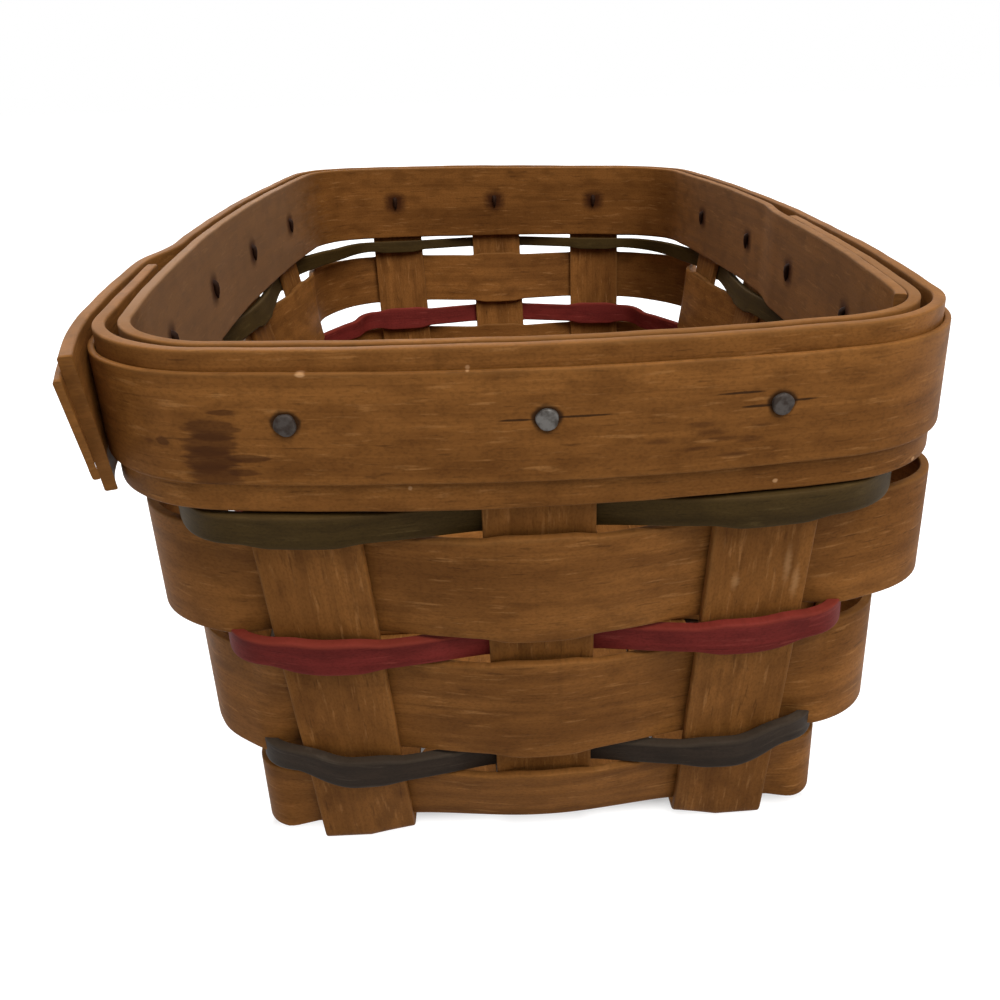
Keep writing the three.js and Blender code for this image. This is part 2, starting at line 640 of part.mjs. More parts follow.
function addPiece(name, geometry, look) {
  const shaped = outOfTrue(geometry);
  shaped.computeVertexNormals();
  const mesh = new THREE.Mesh(shaped, new THREE.MeshStandardMaterial(look));
  mesh.name = name;
  basket.add(mesh);
}

// Strips along the base, left to right: a splint, a filler, a splint and so on
const fillerWidth = LENGTHWISE_BASE_PITCH - SPLINT_WIDTH - 2 * FILLER_SIDE_GAP;
const lengthwiseStrips = spread(2 * LENGTHWISE_COUNT - 1).map((step, i) => ({
  place: step / 2,
  filler: i % 2 === 1,
  half: i % 2 === 1 ? fillerWidth / 2 : halfSplint,
}));
const lengthwiseOver = (i, j) => (i + j) % 2 === 0;
const lengthwiseCrossings = (i) => crosswisePlaces.map((other, j) => ({
  at: -other * CROSSWISE_BASE_PITCH,
  level: lengthwiseOver(i, j) ? highLevel : lowLevel,
  half: halfSplint,
}));

// A filler strip: flat on the base, over and under the crosswise splints, its ends free at the short walls
function filler(i) {
  const axis = compass(FRONT * quarter);
  const along = compass((FRONT + 1) * quarter);
  const line = along.clone().multiplyScalar(lengthwiseStrips[i].place * LENGTHWISE_BASE_PITCH);
  const reach = uprightAt({ wall: FRONT, place: 0 }, 0).point.dot(axis) - FILLER_END_INSET;
  const end = (at) => ({
    middle: line.clone().addScaledVector(axis, at).setZ(lowLevel),
    widthways: along,
    thicknessways: new THREE.Vector3(0, 0, -1),
  });
  return loft([end(reach), ...baseSections(axis, line, along, lengthwiseCrossings(i)), end(-reach)]
    .map((s) => stripSection(s.middle, s.widthways, fillerWidth / 2, s.thicknessways, SPLINT_THICKNESS / 2)));
}

const lengthwiseNames = ['left', 'middle', 'right'];
const fillerNames = ['left', 'right'];
const crosswiseNames = ['front', 'front_middle', 'back_middle', 'back'];
const uprightOn = (wall, place) => uprights.findIndex((u) => u.wall === wall && u.place === place);

lengthwiseStrips.forEach((strip, i) => {
  const number = Math.floor(i / 2);
  if (strip.filler) {
    addPiece(`base_filler_${fillerNames[number]}`, filler(i), STAINED_WOOD);
    return;
  }
  const holes = [uprightOn(FRONT, strip.place), uprightOn(BACK, -strip.place)];
  const shape = splint(FRONT, strip.place, lengthwiseCrossings(i));
  addPiece(`lengthwise_splint_${lengthwiseNames[number]}`, drill(shape, holes), STAINED_WOOD);
});
crosswisePlaces.forEach((place, j) => {
  const crossings = lengthwiseStrips.map((strip, i) => ({
    at: strip.place * LENGTHWISE_BASE_PITCH,
    level: lengthwiseOver(i, j) ? lowLevel : highLevel,
    half: strip.half,
  })).reverse();
  const holes = [uprightOn(RIGHT, place), uprightOn(LEFT, -place)];
  addPiece(`crosswise_splint_${crosswiseNames[j]}`, drill(splint(RIGHT, place, crossings), holes), STAINED_WOOD);
});
for (const row of rows) {
  addPiece(row.name, weaver(row), row.look);
}
const allHoles = uprights.map((_, k) => k);
addPiece('inner_rim_band', drill(innerBand, allHoles), STAINED_WOOD);
addPiece('outer_rim_band', drill(outerBand, allHoles), STAINED_WOOD);
addPiece('rim_trim_strip', drill(trimStrip, allHoles), STAINED_WOOD);

const wallNames = ['right', 'back', 'left', 'front'];
uprights.forEach(({ wall }, k) => {
  const number = k - uprights.findIndex((u) => u.wall === wall) + 1;
  addPiece(`tack_${wallNames[wall]}_${number}`, tack(k), STEEL);
});

export default basket;
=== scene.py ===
import math
from typing import NamedTuple

import bpy
import numpy as np
from mathutils import Matrix


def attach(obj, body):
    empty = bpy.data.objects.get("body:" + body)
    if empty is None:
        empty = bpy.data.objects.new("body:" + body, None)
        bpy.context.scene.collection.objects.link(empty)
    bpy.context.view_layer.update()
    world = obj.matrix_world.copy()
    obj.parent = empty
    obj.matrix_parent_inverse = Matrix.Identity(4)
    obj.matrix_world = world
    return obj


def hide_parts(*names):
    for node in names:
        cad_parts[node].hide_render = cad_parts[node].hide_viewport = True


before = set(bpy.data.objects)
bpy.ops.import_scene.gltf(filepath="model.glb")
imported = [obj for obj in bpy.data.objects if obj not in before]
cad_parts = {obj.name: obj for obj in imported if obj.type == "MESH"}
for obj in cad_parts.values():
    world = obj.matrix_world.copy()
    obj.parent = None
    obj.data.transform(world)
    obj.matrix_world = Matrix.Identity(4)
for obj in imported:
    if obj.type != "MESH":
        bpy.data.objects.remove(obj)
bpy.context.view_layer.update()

# Sizes are in millimetres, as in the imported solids, until a mesh is made
MM = 0.001
QUARTER = math.pi / 2
RIGHT, BACK, LEFT, FRONT = range(4)
WALL_NAMES = ("right", "back", "left", "front")

# Rim outline: half sizes, corner radius, and the radii of the bowed long and short walls
HALF_WIDTH, HALF_LENGTH, CORNER = 67.8, 113.0, 23.6
SIDE_BOW, END_BOW = 724.0, 247.0
# Share of that bow left at the base, and the lean of the walls
BASE_BOW, LEAN = 0.15, 0.22

# Splints cross the base and turn up as uprights; their spacing is given at the base and at the rim
SPLINT_WIDTH, SPLINT_THICK, SPLINT_TOP_DROP = 15.9, 1.2, 2.6
LENGTHWISE_PITCH, CROSSWISE_PITCH = (31.0, 33.0), (41.0, 42.0)
# Radius of the turn into the base, the height down to which an upright is straight, the first step along the
# base past the turn, and the level stretch beside a crossing
BEND, BEND_TOP, BASE_START, BASE_MARGIN = 2.0, 3.2, 0.8, 0.3
# Fillers lie between the lengthwise splints and spread between crossings
FILLER_SIDE_GAP, FILLER_END_INSET = 2.2, 5.0
FILLER_SWELL, FILLER_SWELL_FROM, FILLER_SWELL_RAMP = 1.9, 0.8, 3.0

# Rim bands, and where they start and end past one full turn, measured from the middle of a long wall
BAND_HEIGHT, BAND_THICK = 22.5, 1.6
INNER_HEIGHT, INNER_THICK = 21.7, 1.6
TRIM_HEIGHT, TRIM_THICK, TRIM_DROP = 15.4, 0.8, 2.75
OUTER_LAP_START, OUTER_LAP_END, TRIM_LAP_END = 50.0, 105.0, 109.5
INNER_LAP_START, INNER_LAP_END = 12.0, 96.0
LAP_RAMP, LAP_RAMP_MARGIN = 20.0, 3.0
# Sprung tail of the outer band and trim: its curl per mm, its flare, and the slant of its cut end
TAIL_FREE_FROM, TAIL_CURL = 84.0, -0.011
TAIL_FLARE, TAIL_FLARE_RUN = 0.13, 25.0
OUTER_SLANT, TRIM_SLANT, SLANT_RUN = 0.42, 0.27, 13.0

# Tacks: sizes, the head's fall towards its edge as a share of its thickness, the thickness of that edge, how
# far each front tack is off its upright's middle, and the rust on a head
TACK_DROP, HEAD_RADIUS, HEAD_THICK, SHANK_RADIUS, TIP_LENGTH = 9.5, 1.5, 0.7, 0.7, 3.2
HEAD_FALL, HEAD_EDGE = 0.45, 0.12
FRONT_TACK_SHIFTS = (1.0, 1.2, -1.1)
HEAD_RUST, HEAD_RUST_STEP = 0.42, 0.05
# Sides and rings of a tack, and how far its rings are out of round
TACK_SIDES, DOME_RINGS, SHANK_RINGS, OUT_OF_ROUND = 32, 8, 5, (0.03, 0.02)
# Rings of a tack's turned-over point: depth short of the turn, drop, tilt in radians, radius
POINT_RINGS = np.array([(0.25, 0.12, 0.4, 0.7), (0.0, 0.5, 0.8, 0.7), (0.0, 1.2, 1.3, 0.62),
                        (0.0, 2.2, QUARTER, 0.45), (0.0, TIP_LENGTH, QUARTER, 0.15)])

# Clearances
WEAVE_GAP, BAND_GAP, ROW_GAP, FLOOR_CLEARANCE, HEAD_GAP = 0.3, 0.3, 0.4, 0.7, 0.06
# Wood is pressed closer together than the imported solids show, so strips are drawn this much thicker
PRESSED = 0.2
# Section of a strip: how far in from its rounded corner a face's first two points lie
FIRST_IN, SECOND_IN = 0.4, 1.2
# Spacing of the rings along a row and along a band; rings of a splint's end in the bands, on the wall and
# round the turn, and of a splint's and a filler's run across the base
ROW_STEP, BAND_STEP = 0.9, 1.1
BAND_RINGS, WALL_RINGS, TURN_RINGS, BASE_RINGS, FILLER_RINGS = 10, 44, 9, 240, 200
# Hand-split wood wavers: a share of the width, then mm through the strip, of a row's and of a band's height,
# each with the scale of its wave
WIDTH_WAVER, WIDTH_WAVE = 0.008, 9.0
FACE_WAVER, FACE_WAVE = 0.07, 14.0
ROW_WAVER, ROW_WAVE = 0.1, 40.0
BAND_WAVER, BAND_WAVE = 0.15, 60.0
# Wear at a strip's ends, how far in it reaches, and the step along the grain from one piece to the next
END_WEAR, END_WEAR_RUN, FIGURE_STEP = 0.5, 0.9, 700.0

# Weave: half the flat stretch at an upright, how far the ends are tucked past their upright's middle, and how
# far a tucked end is set in, in strip thicknesses
FLAT = SPLINT_WIDTH / 2 + 1.2
TUCKED = SPLINT_WIDTH / 2 - 1
LAP_DEPTH = 1.1
# Spread over the neighbours' edges, skew of a corner's humps, and the width above which a row counts as wide
ROW_SPREAD, ROW_SPREAD_FADE, CORNER_SKEW, WIDE_ROW = 0.7, 5.0, 1.4, 12.0
# The rise beside the front corners, as shares of the way from the front upright to the next
RISE_RAMP, RISE_END, RISE_FADE = 1 / 5, 0.6, 1 / 3

# Out of true: shift of the base, skew of the sides, twist of the rim, and the arched feet of the short walls
RACK, SKEW, TWIST = 1.8, 0.0275, -0.0242
ARCH_RISE, ARCH_HEIGHT, ARCH_FROM, ARCH_RAMP = 3.9, 20.0, 66.0, 24.0

FILLER_HALF = (LENGTHWISE_PITCH[0] - SPLINT_WIDTH) / 2 - FILLER_SIDE_GAP
LOW = SPLINT_THICK / 2
HIGH = LOW + SPLINT_THICK + WEAVE_GAP


class Row(NamedTuple):
    """A row of the weave: its node and finish, the strip's width and thickness, the side it takes at even
    uprights (1 outside, -1 inside), the upright behind which its ends lap, its swell beside the long walls
    and draw beside the short walls at the right and left corners, the lift of its lower and upper edge on
    the back wall, and its rise beside the front corners."""
    node: str
    finish: str
    width: float
    thick: float
    even_side: int
    lap: int
    swell: tuple
    draw: tuple
    back_lift: tuple
    rise: float


# From the base up
ROWS = [
    Row("weaver_lowest_natural", "natural", 13.0, 1.2, 1, 9, (-1.8, -1.8), (0.0, 0.0), (0.0, 0.0), 0.0),
    Row("weaver_lower_narrow_blue", "blue", 4.8, 1.5, -1, 0, (-1.6, -1.6), (5.5, 5.5), (0.0, 0.0), 3.2),
    Row("weaver_lower_wide_natural", "natural", 20.0, 1.2, 1, 1, (4.0, 2.8), (0.3, 2.3), (0.0, 0.7), 0.0),
    Row("weaver_middle_narrow_red", "red", 4.8, 1.5, -1, 10, (-1.6, -1.6), (5.5, 5.5), (1.1, 1.9), 1.2),
    Row("weaver_upper_wide_natural", "natural", 18.2, 1.2, 1, 9, (6.2, 2.2), (0.6, 0.6), (3.4, 0.0), 0.0),
    Row("weaver_top_narrow_green", "green", 4.8, 1.5, -1, 0, (-1.6, -1.6), (1.3, 3.9), (1.8, 0.0), 0.0),
]
ROW_BOTTOMS = HIGH + LOW + FLOOR_CLEARANCE + np.cumsum([0.0] + [row.width + ROW_GAP for row in ROWS])
BAND_BOTTOM = float(ROW_BOTTOMS[-1])
RIM_TOP = BAND_BOTTOM + max(BAND_HEIGHT, INNER_HEIGHT)
UPRIGHT_OFFSET = -(BAND_THICK + BAND_GAP + SPLINT_THICK / 2)
# Places of the uprights along a long and a short wall, in pitches from its middle
LONG_PLACES, SHORT_PLACES = np.arange(4) - 1.5, np.arange(3) - 1.0
PLACES = {RIGHT: LONG_PLACES, BACK: SHORT_PLACES, LEFT: LONG_PLACES, FRONT: SHORT_PLACES}
# All uprights in order round the basket
UPRIGHTS = [(wall, float(place)) for wall in range(4) for place in PLACES[wall]]


def smooth(t):
    """Smooth step from 0 to 1, flat at both ends: three times the square less twice the cube."""
    t = np.clip(t, 0, 1)
    return t * t * (3 - 2 * t)


def drift(x, seed, scale):
    """A slow unit wave along a strip: three sines of unlike length, phased by the seed."""
    r = np.random.default_rng(seed).uniform(0, 6.28, 3)
    x = np.asarray(x) / scale
    return (np.sin(x + r[0]) + 0.6 * np.sin(2.3 * x + r[1]) + 0.4 * np.sin(5.1 * x + r[2])) / 2


def compass(angle):
    """Level unit vectors at the given angles from +X."""
    return np.stack([np.cos(angle), np.sin(angle), np.zeros_like(angle)], -1)


def unit(vectors):
    """Vectors of length 1 along the given ones: each divided by its length."""
    return vectors / np.linalg.norm(vectors, axis=-1, keepdims=True)


class Plan:
    """Outline of eight tangent arcs round the basket, set out from the rim outline by offset, its four walls
    bowed by a share of the rim's own bow. Each corner arc's centre lies one corner radius inside its side
    arc and end arc."""

    def __init__(self, offset, bow):
        self.corner = CORNER + offset
        self.radii = np.array([SIDE_BOW, END_BOW]) / bow
        self.centres = np.array([HALF_WIDTH, HALF_LENGTH]) + offset - self.radii
        a, b = self.radii - self.corner
        gap = math.hypot(*self.centres)
        along = (a * a - b * b + gap * gap) / (2 * gap)
        across = math.sqrt(a * a - along * along)
        cx, cy = self.centres
        x = cx - (cx * along + cy * across) / gap
        y = (cy * along - cx * across) / gap
        half = (math.atan2(y, x - cx), math.atan2(x, y - cy))
        self.half = half
        arcs = []
        for wall, (sx, sy) in enumerate([(1, 1), (-1, 1), (-1, -1), (1, -1)]):
            middle = wall * QUARTER
            w = wall % 2
            centre = self.centres[w] * np.array([math.cos(middle), math.sin(middle)])
            arcs.append((*centre, self.radii[w], middle - half[w], middle + half[w]))
            arcs.append((sx * x, sy * y, self.corner, middle + half[w], middle + QUARTER - half[1 - w]))
        self.arcs = np.array(arcs)
        self.lengths = self.arcs[:, 2] * (self.arcs[:, 4] - self.arcs[:, 3])
        self.starts = np.concatenate([[0], np.cumsum(self.lengths)])
        self.total = self.starts[-1]

    def at(self, s):
        """Points and outward normals at distances s round the outline: the arc's centre plus its radius times
        the normal."""
        s = np.mod(s, self.total)
        i = np.clip(np.searchsorted(self.starts, s, side="right") - 1, 0, 7)
        arc = self.arcs[i]
        normal = compass(arc[:, 3] + (s - self.starts[i]) / arc[:, 2])
        point = arc[:, 2:3] * normal
        point[:, :2] += arc[:, :2]
        return point, normal

    def place(self, wall, v):
        """Distance round the outline of the point that is v along a wall from its middle: the start of the
        wall's arc, plus its radius times the sum of its half angle and the arcsine of v over the radius."""
        w = wall % 2
        return self.starts[2 * wall] + self.radii[w] * (math.asin(v / self.radii[w]) + self.half[w])

    def wall_point(self, wall, v):
        """Point, normal and tangent of the spot that is v along a wall."""
        point, normal = self.at(np.array([self.place(wall, v)]))
        return point[0], normal[0], np.array([-normal[0, 1], normal[0, 0], 0])


def height_share(z):
    """Height as a share of the way from the base to the underside of the bands."""
    return min(1.0, max(0.0, z / BAND_BOTTOM))


def wall_plan(z):
    """Outline of the wall's middle surface at height z: upright between the bands, leaning in below them, its
    bow a straight blend from the base's share to the full bow."""
    offset = UPRIGHT_OFFSET - LEAN * max(0.0, BAND_BOTTOM - z)
    return Plan(offset, BASE_BOW + (1 - BASE_BOW) * height_share(z))


def pitch(wall, z):
    """Spacing of a wall's uprights at height z: a straight blend from the base's to the rim's."""
    low, high = CROSSWISE_PITCH if wall % 2 == 0 else LENGTHWISE_PITCH
    return low + (high - low) * height_share(z)


def upright(wall, place, z):
    """Point, normal and tangent of an upright's middle line at height z."""
    return wall_plan(z).wall_point(wall, place * pitch(wall, z))


def upright_lean(wall, place):
    """Angle of an upright out of vertical: the arctangent of its way out over its rise, from its foot to the
    underside of the bands."""
    foot, n0, _ = upright(wall, place, 0.0)
    head, n1, _ = upright(wall, place, BAND_BOTTOM)
    return math.atan(float((head - foot) @ (n0 + n1)) / (2 * BAND_BOTTOM))


def out_of_true(p):
    """The hand-made basket's shape: the foot of each short wall is arched up between the outer splints, the
    base sits to the right of the rim, the sides are skewed and the rim twists."""
    x, y, z = p[:, 0], p[:, 1], p[:, 2]
    across = np.maximum(0, 1 - (x / LENGTHWISE_PITCH[0]) ** 2)
    low = np.maximum(0, 1 - z / ARCH_HEIGHT)
    z = z + ARCH_RISE * across * low * low * smooth((np.abs(y) - ARCH_FROM) / ARCH_RAMP)
    rise = TWIST * x * (y + HALF_LENGTH) / (2 * HALF_LENGTH)
    return np.stack([x + RACK * (1 - z / RIM_TOP), y + SKEW * x, z * (1 + rise / RIM_TOP)], -1)


def strip_section(half_width, half_thick, radius, across):
    """Section of a flat strip with rounded corners: points (a, b) going once round, a as a share of the half
    width and b in mm through the strip, and for each point whether it lies on a cut edge. A face has `across`
    spans, narrow ones beside its edges, and a corner is a quarter circle of three spans."""
    radius = min(radius, half_thick * 0.95)
    w, t = half_width - radius, half_thick - radius
    inner = w - SECOND_IN
    line = np.concatenate([[w - FIRST_IN], np.linspace(inner, -inner, across - 3), [FIRST_IN - w]])
    turn = np.linspace(0, QUARTER, 4)
    parts, cut = [], []
    for i, (sa, sb) in enumerate([(1, 1), (-1, 1), (-1, -1), (1, -1)]):
        angle = turn + i * QUARTER
        parts.append(np.stack([sa * w + radius * np.cos(angle), sb * t + radius * np.sin(angle)], -1))
        cut.append(np.ones(len(angle)))
        if i % 2 == 0:
            parts.append(np.stack([sa * line, np.full_like(line, sb * half_thick)], -1))
            cut.append(np.zeros(len(line)))
    return np.concatenate(parts) / (half_width, 1.0), np.concatenate(cut)


def tube(rings):
    """Vertices and faces of a closed tube through rings of points: quads between neighbouring rings and one
    face over each end, turned outward by the sign of the volume they enclose."""
    n, m = rings.shape[:2]
    verts = rings.reshape(-1, 3)
    i, j = np.meshgrid(np.arange(n - 1), np.arange(m), indexing="ij")
    k = (j + 1) % m
    quads = np.stack([i * m + j, i * m + k, (i + 1) * m + k, (i + 1) * m + j], -1).reshape(-1, 4)
    first, last = np.arange(m)[::-1], (n - 1) * m + np.arange(m)
    a, b, c, d = np.moveaxis(verts[quads], 1, 0)
    if np.sum(a * (np.cross(b, c) + np.cross(c, d))) < 0:
        quads, first, last = quads[:, ::-1], first[::-1], last[::-1]
    return verts, quads.tolist() + [first.tolist(), last.tolist()]


def add_piece(cad_node, made_of, verts, faces, attributes, material):
    """Puts a piece into the scene in place of its CAD node: a mesh at the origin in metres, out of true as
    the basket is, smooth but for its last two faces, the flat ends, with its point attributes and one
    material."""
    name = f"{cad_node}_{made_of}"
    mesh = bpy.data.meshes.new(name)
    mesh.from_pydata((out_of_true(verts) * MM).tolist(), [], faces)
    mesh.polygons.foreach_set("use_smooth", np.arange(len(faces)) < len(faces) - 2)
    for key, value in attributes.items():
        kind, field = ("FLOAT_VECTOR", "vector") if value.ndim == 2 else ("FLOAT", "value")
        layer = mesh.attributes.new(key, kind, "POINT")
        layer.data.foreach_set(field, value.astype(np.float32).ravel())
    mesh.materials.append(material)
    obj = bpy.data.objects.new(name, mesh)
    bpy.context.scene.collection.objects.link(obj)
    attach(obj, "root")
    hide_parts(cad_node)


def strip(cad_node, middle, widthways, thickways, half_width, half_thick, seed, material,
          across=10, wear_and_highlight=(0.4, 0.4), radius=0.3, marks=None):
    """A flat strip along a path. Each station's ring is middle + a * half width * widthways + b * thickways
    over a rounded section. The grain attribute holds the distances in mm along, across and through the strip,
    offset by the seed so that no two pieces share a figure. The edge attribute says how pale the edges are
    drawn: the two given shares on the two cut edges, for wear and, on the upper edge of rows and bands, a
    painted highlight where the light falls, and a share at the ends, for wear."""
    section, cut = strip_section(float(np.mean(half_width)), half_thick + PRESSED / 2, radius, across)
    run = np.concatenate([[0], np.cumsum(np.linalg.norm(np.diff(middle, axis=0), axis=1))])
    half = np.broadcast_to(half_width, len(middle)) * (1 + WIDTH_WAVER * drift(run, seed + 50, WIDTH_WAVE))
    wavy = middle + thickways * (FACE_WAVER * drift(run, seed + 90, FACE_WAVE))[:, None]
    a = half[:, None] * section[None, :, 0]
    b = np.broadcast_to(section[None, :, 1], a.shape)
    verts, faces = tube(wavy[:, None] + a[..., None] * widthways[:, None] + b[..., None] * thickways[:, None])
    grain = np.stack([np.broadcast_to(run[:, None], a.shape) + FIGURE_STEP * seed, a, b], -1).reshape(-1, 3)
    ends = END_WEAR * (1 - smooth(np.minimum(run, run[-1] - run) / END_WEAR_RUN))
    # Pale cut edges: wear, and on the upper edge a painted highlight
    edge_wear_and_highlight = cut * np.where(section[:, 0] > 0, wear_and_highlight[0], wear_and_highlight[1])
    edge = np.maximum(edge_wear_and_highlight[None], ends[:, None]).ravel()
    attributes = {"grain": grain, "edge": edge, "spot": verts}
    if marks is not None:
        attributes.update(marks(verts))
    add_piece(cad_node, "wood", verts, faces, attributes, material)


def weaver(index, material):
    """One row's strip. Its middle line is the row's plan pushed out or in by the weave depth: a cosine wave
    between uprights, full depth at each upright's middle. Across a corner two sine-squared humps are added: a
    swell beside the long wall and a draw beside the short wall. It leans with the uprights, stands upright in
    the corners, spreads over its neighbours' edges at each upright, and rises beside the front corners."""
    row = ROWS[index]
    z = float(ROW_BOTTOMS[index]) + row.width / 2
    plan = wall_plan(z)
    count = len(UPRIGHTS)
    order = [(row.lap + i) % count for i in range(count + 1)]
    walls = np.array([UPRIGHTS[k][0] for k in order])
    leans = np.array([upright_lean(*UPRIGHTS[k]) for k in order])
    cos = math.cos(math.atan(LEAN))
    pitches = np.array([pitch(w, z) for w in walls])
    swing = ((SPLINT_THICK + row.thick) / 2 + WEAVE_GAP) / cos
    swing = swing / np.cos(math.pi * (SPLINT_WIDTH / 2 + WEAVE_GAP) / pitches)
    depth = np.array([row.even_side if k % 2 == 0 else -row.even_side for k in order]) * swing
    depth[-1] -= LAP_DEPTH * (row.thick + WEAVE_GAP) / cos
    knots = np.array([plan.place(w, p * pitch(w, z)) for w, p in (UPRIGHTS[k] for k in order)])
    knots += plan.total * np.concatenate([[0], np.cumsum(np.diff(knots) <= 0)])
    s = np.arange(knots[0] - TUCKED, knots[-1] + TUCKED, ROW_STEP)
    i = np.clip(np.searchsorted(knots, s, side="right") - 1, 0, count - 1)
    here, ahead = walls[i], walls[i + 1]
    gap = knots[i + 1] - knots[i]
    t = np.clip((s - knots[i]) / gap, 0, 1)
    corner = here != ahead
    from_front = np.where(here == FRONT, t, 1 - t)
    risen = row.rise * (corner & ((here == FRONT) | (ahead == FRONT)))
    risen = risen * smooth(from_front / RISE_RAMP) * smooth((RISE_END - from_front) / RISE_FADE)
    across = np.clip((s - knots[i] - FLAT) / (gap - 2 * FLAT), 0, 1)
    beside_long = np.where(here % 2 == 0, 1 - across, across)
    hand = np.isin(here, (BACK, LEFT)).astype(int)
    humps = np.sin(math.pi * np.stack([beside_long, 1 - beside_long]) ** CORNER_SKEW) ** 2
    out = depth[i] + (depth[i + 1] - depth[i]) * (1 - np.cos(math.pi * t)) / 2
    out = out + corner * (np.array(row.swell)[hand] * humps[0] - np.array(row.draw)[hand] * humps[1])
    upright_share = np.where(corner, np.clip(1 - 2 * np.sin(math.pi * across), 0, 1), 1)
    lean = (leans[i] + (leans[i + 1] - leans[i]) * t) * upright_share
    from_upright = np.minimum(np.abs(s - knots[i]), np.abs(knots[i + 1] - s))
    spread = ROW_SPREAD * smooth((FLAT - from_upright) / ROW_SPREAD_FADE)
    on_back = smooth((here == BACK) * (1 - t) + (ahead == BACK) * t)
    low = row.back_lift[0] * on_back - row.width / 2 - spread * (index > 0)
    high = row.back_lift[1] * on_back + row.width / 2 + spread * (index < len(ROWS) - 1)
    point, normal = plan.at(s)
    middle = point + normal * out[:, None]
    middle[:, 2] = z + ROW_WAVER * drift(s, index, ROW_WAVE) + risen
    up = normal * np.sin(lean)[:, None]
    up[:, 2] = np.cos(lean)
    middle = middle + up * ((low + high) / 2)[:, None]
    facing = unit(np.cross(np.gradient(middle, axis=0), up))
    wide = row.width > WIDE_ROW
    # The top edge is drawn paler than the lower one: wear, and a painted highlight where light falls on it
    strip(row.node, middle, up, facing, (high - low) / 2, row.thick / 2, index + 1, material,
          across=14 if wide else 8, wear_and_highlight=(0.5, 0.15) if wide else (0.6, 0.2))


def splint_end(wall, place):
    """One turned-up end, as the points of its middle line and its width directions from the top down:
    straight between the bands, leaning below them, then a turn of small radius into the base."""
    axis, along = compass(np.array(wall * QUARTER)), compass(np.array((wall + 1) * QUARTER))
    top = RIM_TOP - SPLINT_TOP_DROP
    foot = float(upright(wall, place, 0.0)[0] @ axis)
    slope = (float(upright(wall, place, BAND_BOTTOM)[0] @ axis) - foot) / BAND_BOTTOM
    turn = math.atan2(1, slope)
    bend_reach = foot + slope * LOW - BEND * math.tan(turn / 2)
    in_bands = np.linspace(top, BAND_BOTTOM + 2, BAND_RINGS)
    below = np.linspace(BAND_BOTTOM + 1, BEND_TOP, WALL_RINGS)
    heights = np.concatenate([in_bands, below])
    lift = turn * np.linspace(1, 0, TURN_RINGS)
    z = np.concatenate([heights, LOW + BEND - BEND * np.cos(lift)])
    spots = [upright(wall, place, float(h)) for h in z]
    points = np.array([spot[0] for spot in spots])
    tangents = np.array([spot[2] for spot in spots])
    reach = np.concatenate([(points @ axis)[:len(heights)], bend_reach + BEND * np.sin(lift)])
    middle = axis * reach[:, None] + along * (points @ along)[:, None]
    middle[:, 2] = z
    return middle, tangents


def base_run(axis, along, line, reach, crossings):
    """A strip's run across the base: its height steps smoothly between level stretches, one over or under
    each crossing strip. A crossing is (place along the run, level, half width of the crossing strip)."""
    knots = [[at + side * (half + BASE_MARGIN), level] for at, level, half in crossings for side in (1, -1)]
    knots = np.array([[reach[0], LOW]] + knots + [[reach[-1], LOW]])
    i = np.clip(np.searchsorted(-knots[:, 0], -reach) - 1, 0, len(knots) - 2)
    t = (reach - knots[i, 0]) / (knots[i + 1, 0] - knots[i, 0])
    path = axis * reach[:, None] + along * line
    path[:, 2] = knots[i, 1] + (knots[i + 1, 1] - knots[i, 1]) * smooth(t)
    return path


def splint(cad_node, wall, place, crossings, seed, material):
    """A splint: one turned-up end, the run across the base and the other turned-up end, as one path."""
    axis, along = compass(np.array(wall * QUARTER)), compass(np.array((wall + 1) * QUARTER))
    near, near_dir = splint_end(wall, place)
    far, far_dir = splint_end((wall + 2) % 4, -place)
    start, end = float(near[-1] @ axis) - BASE_START, float(far[-1] @ axis) + BASE_START
    reach = np.linspace(start, end, BASE_RINGS)
    base = base_run(axis, along, place * pitch(wall, 0.0), reach, crossings)
    middle = np.concatenate([near, base, far[::-1]])
    widthways = np.concatenate([near_dir, np.broadcast_to(along, base.shape), -far_dir[::-1]])
    facing = unit(np.cross(np.gradient(middle, axis=0), widthways))
    strip(cad_node, middle, widthways, facing, SPLINT_WIDTH / 2, SPLINT_THICK / 2, seed, material,
          across=12)


def filler(cad_node, place, crossings, seed, material):
    """A filler strip laid flat along the base between two lengthwise splints, free at both ends. It is
    pinched where it crosses a splint, and widens by a smooth step to meet its neighbours elsewhere."""
    axis, along = compass(np.array(FRONT * QUARTER)), compass(np.array((FRONT + 1) * QUARTER))
    end = float(upright(FRONT, 0.0, 0.0)[0] @ axis) - FILLER_END_INSET
    reach = np.linspace(end, -end, FILLER_RINGS)
    middle = base_run(axis, along, place * LENGTHWISE_PITCH[0], reach, crossings)
    widthways = np.broadcast_to(along, middle.shape)
    facing = unit(np.cross(np.gradient(middle, axis=0), widthways))
    clear = np.min([np.abs(reach - at) for at, _, _ in crossings], axis=0) - SPLINT_WIDTH / 2
    half = FILLER_HALF + FILLER_SWELL * smooth((clear - FILLER_SWELL_FROM) / FILLER_SWELL_RAMP)
    strip(cad_node, middle, widthways, facing, half, SPLINT_THICK / 2, seed, material)


RIM = Plan(0.0, 1.0)
OUTER_SHIFT = BAND_THICK + TRIM_THICK + 2 * BAND_GAP
INNER_SHIFT = INNER_THICK + BAND_GAP
TRIM_OFFSET = BAND_GAP + TRIM_THICK / 2
INNER_OFFSET = UPRIGHT_OFFSET - SPLINT_THICK / 2 - BAND_GAP - INNER_THICK / 2


